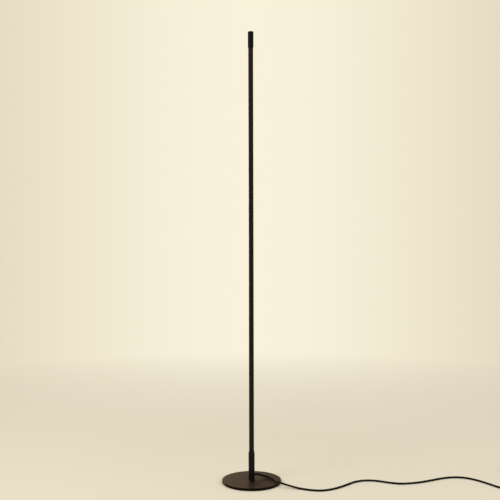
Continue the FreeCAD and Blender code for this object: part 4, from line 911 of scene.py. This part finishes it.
def white_board(slot):
    tree, shader = start_finish(slot, BOARD_WHITE, 0.35)
    flecks = noise(tree, FLECK_SCALE, detail=3.0)
    join_colour(tree, shader, mix_colours(tree, flecks, BOARD_WHITE, BOARD_GREY))
    join_roughness(tree, shader, flecks, 0.35, glossier=0.05, duller=0.07)
    join_bump(tree, shader, flecks, 0.02 * MM, strength=0.3)


def phosphor_chips(slot):
    tree, shader = start_finish(slot, CHIP_WHITE, 0.3)
    place = add(tree, "ShaderNodeSeparateXYZ", {"Vector": object_place(tree)})
    sideways = calculate(tree, "ABSOLUTE", place.outputs["X"])
    off_middle = calculate(tree, "MULTIPLY", off_chip_middle(tree), CHIP_PITCH)
    away = calculate(tree, "MAXIMUM", sideways, off_middle)
    yellow = remap(tree, away, PHOSPHOR_ENDS, PHOSPHOR_FADES_FROM)
    join_colour(tree, shader, mix_colours(tree, yellow, CHIP_WHITE, PHOSPHOR))
    join_bump(tree, shader, yellow, 0.1 * MM, strength=0.5)


def circuit_green(slot):
    tree, shader = start_finish(slot, MASK_GREEN, 0.35)
    tracks = add(
        tree, "ShaderNodeTexBrick", {"Vector": object_place(tree), "Scale": TRACK_SCALE}
    ).outputs["Fac"]
    join_colour(tree, shader, mix_colours(tree, tracks, MASK_GREEN, TRACK_GREEN))
    join_bump(tree, shader, tracks, 0.03 * MM, strength=0.3)


white_board("led_board")
phosphor_chips("led_phosphor")
circuit_green("circuit_board")
print("boards ready")

# %% [markdown]
# Wires, tape and cans
# The last hidden pieces are the coloured wires, the taped transformer and the two cans beside it.
# Tape could be modelled turn by turn, but nothing opens the adapter, so bands across the height are
# enough: a bump, with a darker stripe to each layer. The wires' insulation is thin and glossy, with
# small changes of colour from the dye.

# %% Inner electrical finishes
WIRE_RED = (0.34, 0.05, 0.03)
WIRE_RED_PALER = (0.44, 0.08, 0.05)
DYE_SCALE = 700.0
LAYER_DARKER = 0.75


def wire_insulation(slot):
    tree, shader = start_finish(slot, WIRE_RED, 0.35)
    speck = noise(tree, DYE_SCALE)
    join_colour(tree, shader, mix_colours(tree, speck, WIRE_RED, WIRE_RED_PALER))
    join_roughness(tree, shader, speck, 0.35, glossier=0.05, duller=0.1)
    join_bump(tree, shader, speck, 0.02 * MM, strength=0.3)


def wound_tape(slot, colour):
    tree, shader = start_finish(slot, colour, 0.35)
    layers = add(tree, "ShaderNodeGroup", node_tree=wound_layers).outputs["Layers"]
    join_colour(tree, shader, mix_colours(tree, layers, colour, shaded(colour, LAYER_DARKER)))
    join_bump(tree, shader, layers, 0.05 * MM, strength=0.4)


wire_insulation("wire_sheath")
wound_tape("transformer_tape", (0.72, 0.55, 0.10))
wound_tape("capacitor_sleeve", (0.03, 0.03, 0.06))
print(len(finishes), "finishes in all")

# %% [markdown]
# Dress the solid pieces
# On a bench each piece would be painted or plated before the lamp is put together. In Blender each
# could get its finish by hand, name by name, but the record already lists which finish each solid
# piece wears, so one loop dresses them all and none is forgotten. The pieces come with the true
# normals of their round faces, so nothing has to be smoothed here.

# %% Give every solid its finish
for entry in frame["record"]["subparts"]:
    piece = nodes[entry["node"]]
    for place in piece.material_slots:
        place.material = finishes[entry["material_slot"]]
for cord in (floor_cord, spare_cord):
    cord.data.materials.append(finishes["cord_sheath"])
button_spring.data.materials.append(finishes["spring_steel"])

# %% [markdown]
# The shape of a socket screw
# Two small grub screws show from outside: one holds the column in the stem, at the back, and one
# holds the cap. In the frame they are plain pegs. A screw that a key must turn has a six-sided
# socket with a cone at its bottom and a chamfered rim. A boolean could cut the socket, but it leaves
# long thin faces that shade badly. So each screw is built ring by ring, from the socket's floor out
# to the rim and down to the tip, and all rings have as many points, so that they join up in strips.

# %% Socket screw
SOCKET_SIDES = 6
RING_SIDES = 36
CHAMFER_SHARE = 0.12
SOCKET_CONE_SHARE = 0.3


def ring_points(count, radius, depth):
    angles = [2 * math.pi * i / count for i in range(count)]
    return [(radius * math.cos(angle), radius * math.sin(angle), depth) for angle in angles]


def hexagon_points(across_flats, depth):
    """A hexagon with as many points as the round rings, spread evenly over its sides."""
    corners = ring_points(SOCKET_SIDES, across_flats / math.sqrt(3), depth)
    per_side = RING_SIDES // SOCKET_SIDES
    points = []
    for here, following in zip(corners, corners[1:] + corners[:1]):
        for step in range(per_side):
            points.append(tuple(Vector(here).lerp(Vector(following), step / per_side)))
    return points


def socket_screw(name, radius, long, tip_radius, tip_long, across_flats, socket_deep):
    """A grub screw along its own Z, with its face at zero and its tip below."""
    chamfer = radius * CHAMFER_SHARE
    shoulder = tip_long - long
    rings = [
        hexagon_points(across_flats, -socket_deep),
        hexagon_points(across_flats, 0),
        ring_points(RING_SIDES, radius - chamfer, 0),
        ring_points(RING_SIDES, radius, -chamfer),
        ring_points(RING_SIDES, radius, shoulder),
        ring_points(RING_SIDES, tip_radius, shoulder),
        ring_points(RING_SIDES, tip_radius, -long),
    ]
    mesh = bmesh.new()
    made = [[mesh.verts.new(point) for point in ring] for ring in rings]
    for lower, upper in zip(made, made[1:]):
        for i in range(RING_SIDES):
            following = (i + 1) % RING_SIDES
            mesh.faces.new((lower[i], upper[i], upper[following], lower[following]))
    cone_tip = mesh.verts.new((0, 0, -(socket_deep + across_flats * SOCKET_CONE_SHARE)))
    for i in range(RING_SIDES):
        mesh.faces.new((cone_tip, made[0][i], made[0][(i + 1) % RING_SIDES]))
    mesh.faces.new(reversed(made[-1]))
    bmesh.ops.recalc_face_normals(mesh, faces=mesh.faces)
    data = bpy.data.meshes.new(name)
    mesh.to_mesh(data)
    mesh.free()
    screw = bpy.data.objects.new(name, data)
    bpy.context.collection.objects.link(screw)
    screw.data.materials.append(finishes["black_screws"])
    return screw


print("a screw has", RING_SIDES, "sides, and its socket", SOCKET_SIDES)

# %% [markdown]
# The two screws in their places
# The screws could be typed in place as numbers, but each takes its length, height and face from the
# peg that it stands for, so it follows the peg if the lamp changes. The stem's screw ends in a thin
# dog that reaches through the bore into the swivel's groove, and it steps down to that dog where the
# bore begins. A screw's direction is a vector that points out of the lamp, and Blender makes the
# rotation from it.

# %% Lay the screws
SLEEVE_BORE = 18 * MM
TO_THE_BACK = Vector((0, 1, 0))
TO_THE_SIDE = Vector((1, 0, 0))


def lay_screw(screw, node, body, outward, face):
    """Puts the screw's face at that distance from the lamp's axis, looking outward."""
    low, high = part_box(node)
    level = (low[2] + high[2]) / 2
    screw.matrix_world = (
        Matrix.Translation(outward * face + Vector((0, 0, level)))
        @ outward.to_track_quat("Z", "X").to_matrix().to_4x4()
    )
    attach(screw, body)
    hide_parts(node)


low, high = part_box("retaining_screw")
stop_screw = socket_screw(
    "stem_socket_screw", radius=2 * MM, long=high[1] - low[1], tip_radius=1.2 * MM,
    tip_long=SLEEVE_BORE / 2 - low[1], across_flats=2 * MM, socket_deep=0.7 * MM,
)
lay_screw(stop_screw, "retaining_screw", "stand", TO_THE_BACK, high[1])
low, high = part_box("cap_screw")
top_screw = socket_screw(
    "cap_socket_screw", radius=1.25 * MM, long=high[0] - low[0], tip_radius=1.1 * MM,
    tip_long=0.4 * MM, across_flats=1.3 * MM, socket_deep=0.9 * MM,
)
lay_screw(top_screw, "cap_screw", "column", TO_THE_SIDE, high[0])
print("screws:", stop_screw.name, top_screw.name)

# %% [markdown]
# The surround
# The lamp is nearly black, so what shapes it is what it mirrors. A pale backdrop could be a curved
# sheet behind it, but the world's own colour reaches round all sides and casts no shadow: it is warm
# and brightest behind the lamp, where the lamp's light would fall. Rays that light matt things get an
# even grey instead, told apart with the Light Path node, so that colours render as they are written.

# %% Surround
SURROUND = (0.66, 0.57, 0.43)
BEHIND_LAMP = (0.95, 0.88, 0.70)
GLOW_HALF_ANGLE = 0.6
AMBIENT = (0.72, 0.72, 0.72)


def seen_directly(tree):
    """One for camera, mirror and glass rays, zero for the rays that light things."""
    path = add(tree, "ShaderNodeLightPath")
    seen = calculate(
        tree, "MAXIMUM", path.outputs["Is Camera Ray"], path.outputs["Is Glossy Ray"]
    )
    return calculate(tree, "MAXIMUM", seen, path.outputs["Is Transmission Ray"])


def make_surround():
    world = bpy.data.worlds.new("Surround")
    world.use_nodes = True
    bpy.context.scene.world = world
    tree = world.node_tree
    outward = add(tree, "ShaderNodeTexCoord").outputs["Generated"]
    ray = add(tree, "ShaderNodeSeparateXYZ", {"Vector": outward})
    heading = calculate(tree, "ARCTAN2", ray.outputs["X"], ray.outputs["Y"])
    glow = add(
        tree, "ShaderNodeMapRange",
        {"Value": calculate(tree, "ABSOLUTE", heading), "From Max": GLOW_HALF_ANGLE,
         "To Min": 1.0, "To Max": 0.0},
        interpolation_type="SMOOTHSTEP",
    )
    graded = mix_colours(tree, glow.outputs["Result"], SURROUND, BEHIND_LAMP)
    colour = mix_colours(tree, seen_directly(tree), AMBIENT, graded)
    tree.links.new(colour, tree.nodes["Background"].inputs["Color"])


make_surround()
print("surround ready")

# %% [markdown]
# The floor
# The floor takes the shadows near the lamp. A plane that simply ends would show its edge, and one
# that reaches very far a hard horizon. So it turns clear between 0.6 m and 3.2 m from the stem, for
# camera and mirror rays only, and melts into the surround, while it still carries light as a whole
# floor does.

# %% Floor
FLOOR_COLOUR = (0.84, 0.75, 0.58)
FLOOR_SIZE = 40
FADE_FROM = 0.6
FADE_TO = 3.2


def make_floor():
    bpy.ops.mesh.primitive_plane_add(size=FLOOR_SIZE)
    floor = bpy.context.active_object
    floor.name = "floor"
    material = bpy.data.materials.new("floor")
    material.use_nodes = True
    tree = material.node_tree
    tree.nodes.clear()
    matt = add(tree, "ShaderNodeBsdfDiffuse", {"Color": (*FLOOR_COLOUR, 1)})
    clear = add(tree, "ShaderNodeBsdfTransparent")
    distance = add(
        tree, "ShaderNodeVectorMath", {0: object_place(tree)}, operation="LENGTH"
    ).outputs["Value"]
    fade = remap(tree, distance, FADE_FROM, FADE_TO)
    fade = calculate(tree, "MULTIPLY", fade, seen_directly(tree))
    mixed = add(
        tree, "ShaderNodeMixShader",
        {0: fade, 1: matt.outputs[0], 2: clear.outputs[0]},
    )
    add(tree, "ShaderNodeOutputMaterial", {"Surface": mixed.outputs[0]})
    floor.data.materials.append(material)


make_floor()
print(f"floor ready, fading from {FADE_FROM} to {FADE_TO} m")

# %% [markdown]
# Three soft lights
# A sun lamp would be one line, but its shadows are hard. Discs of light are as soft as they are wide.
# A broad one from the upper left draws a soft streak down the tubes, and a weak one from the right
# keeps the other side from going dead. The third stands for the light that the lamp throws backwards:
# the base mirrors it, and it is switched off for matt surfaces, or it would leave a pool of light on
# the floor. None of them shows as a disc when the camera looks its way.

# %% Lights
def soft_light(name, place, aim, size, power, lights_matt=True):
    data = bpy.data.lights.new(name, "AREA")
    data.shape = "DISK"
    data.size = size
    data.energy = power
    light = bpy.data.objects.new(name, data)
    light.location = place
    direction = Vector(aim) - Vector(place)
    light.rotation_euler = direction.to_track_quat("-Z", "Y").to_euler()
    light.visible_camera = False
    light.visible_diffuse = lights_matt
    bpy.context.collection.objects.link(light)


soft_light("key_light", place=(-2.2, -1.8, 2.6), aim=(0, 0, 0.6), size=1.6, power=40)
soft_light("fill_light", place=(2.4, -1.6, 1.8), aim=(0.2, 0, 0.5), size=2.0, power=12)
soft_light(
    "back_glow", place=(-1.3, 2.2, 1.0), aim=(0, 0, 0.1), size=1.6, power=55, lights_matt=False
)
print("lights ready")

# %% [markdown]
# The end
# The last line prints a short note that the scene is set up.

# %% End
print("scene ready")
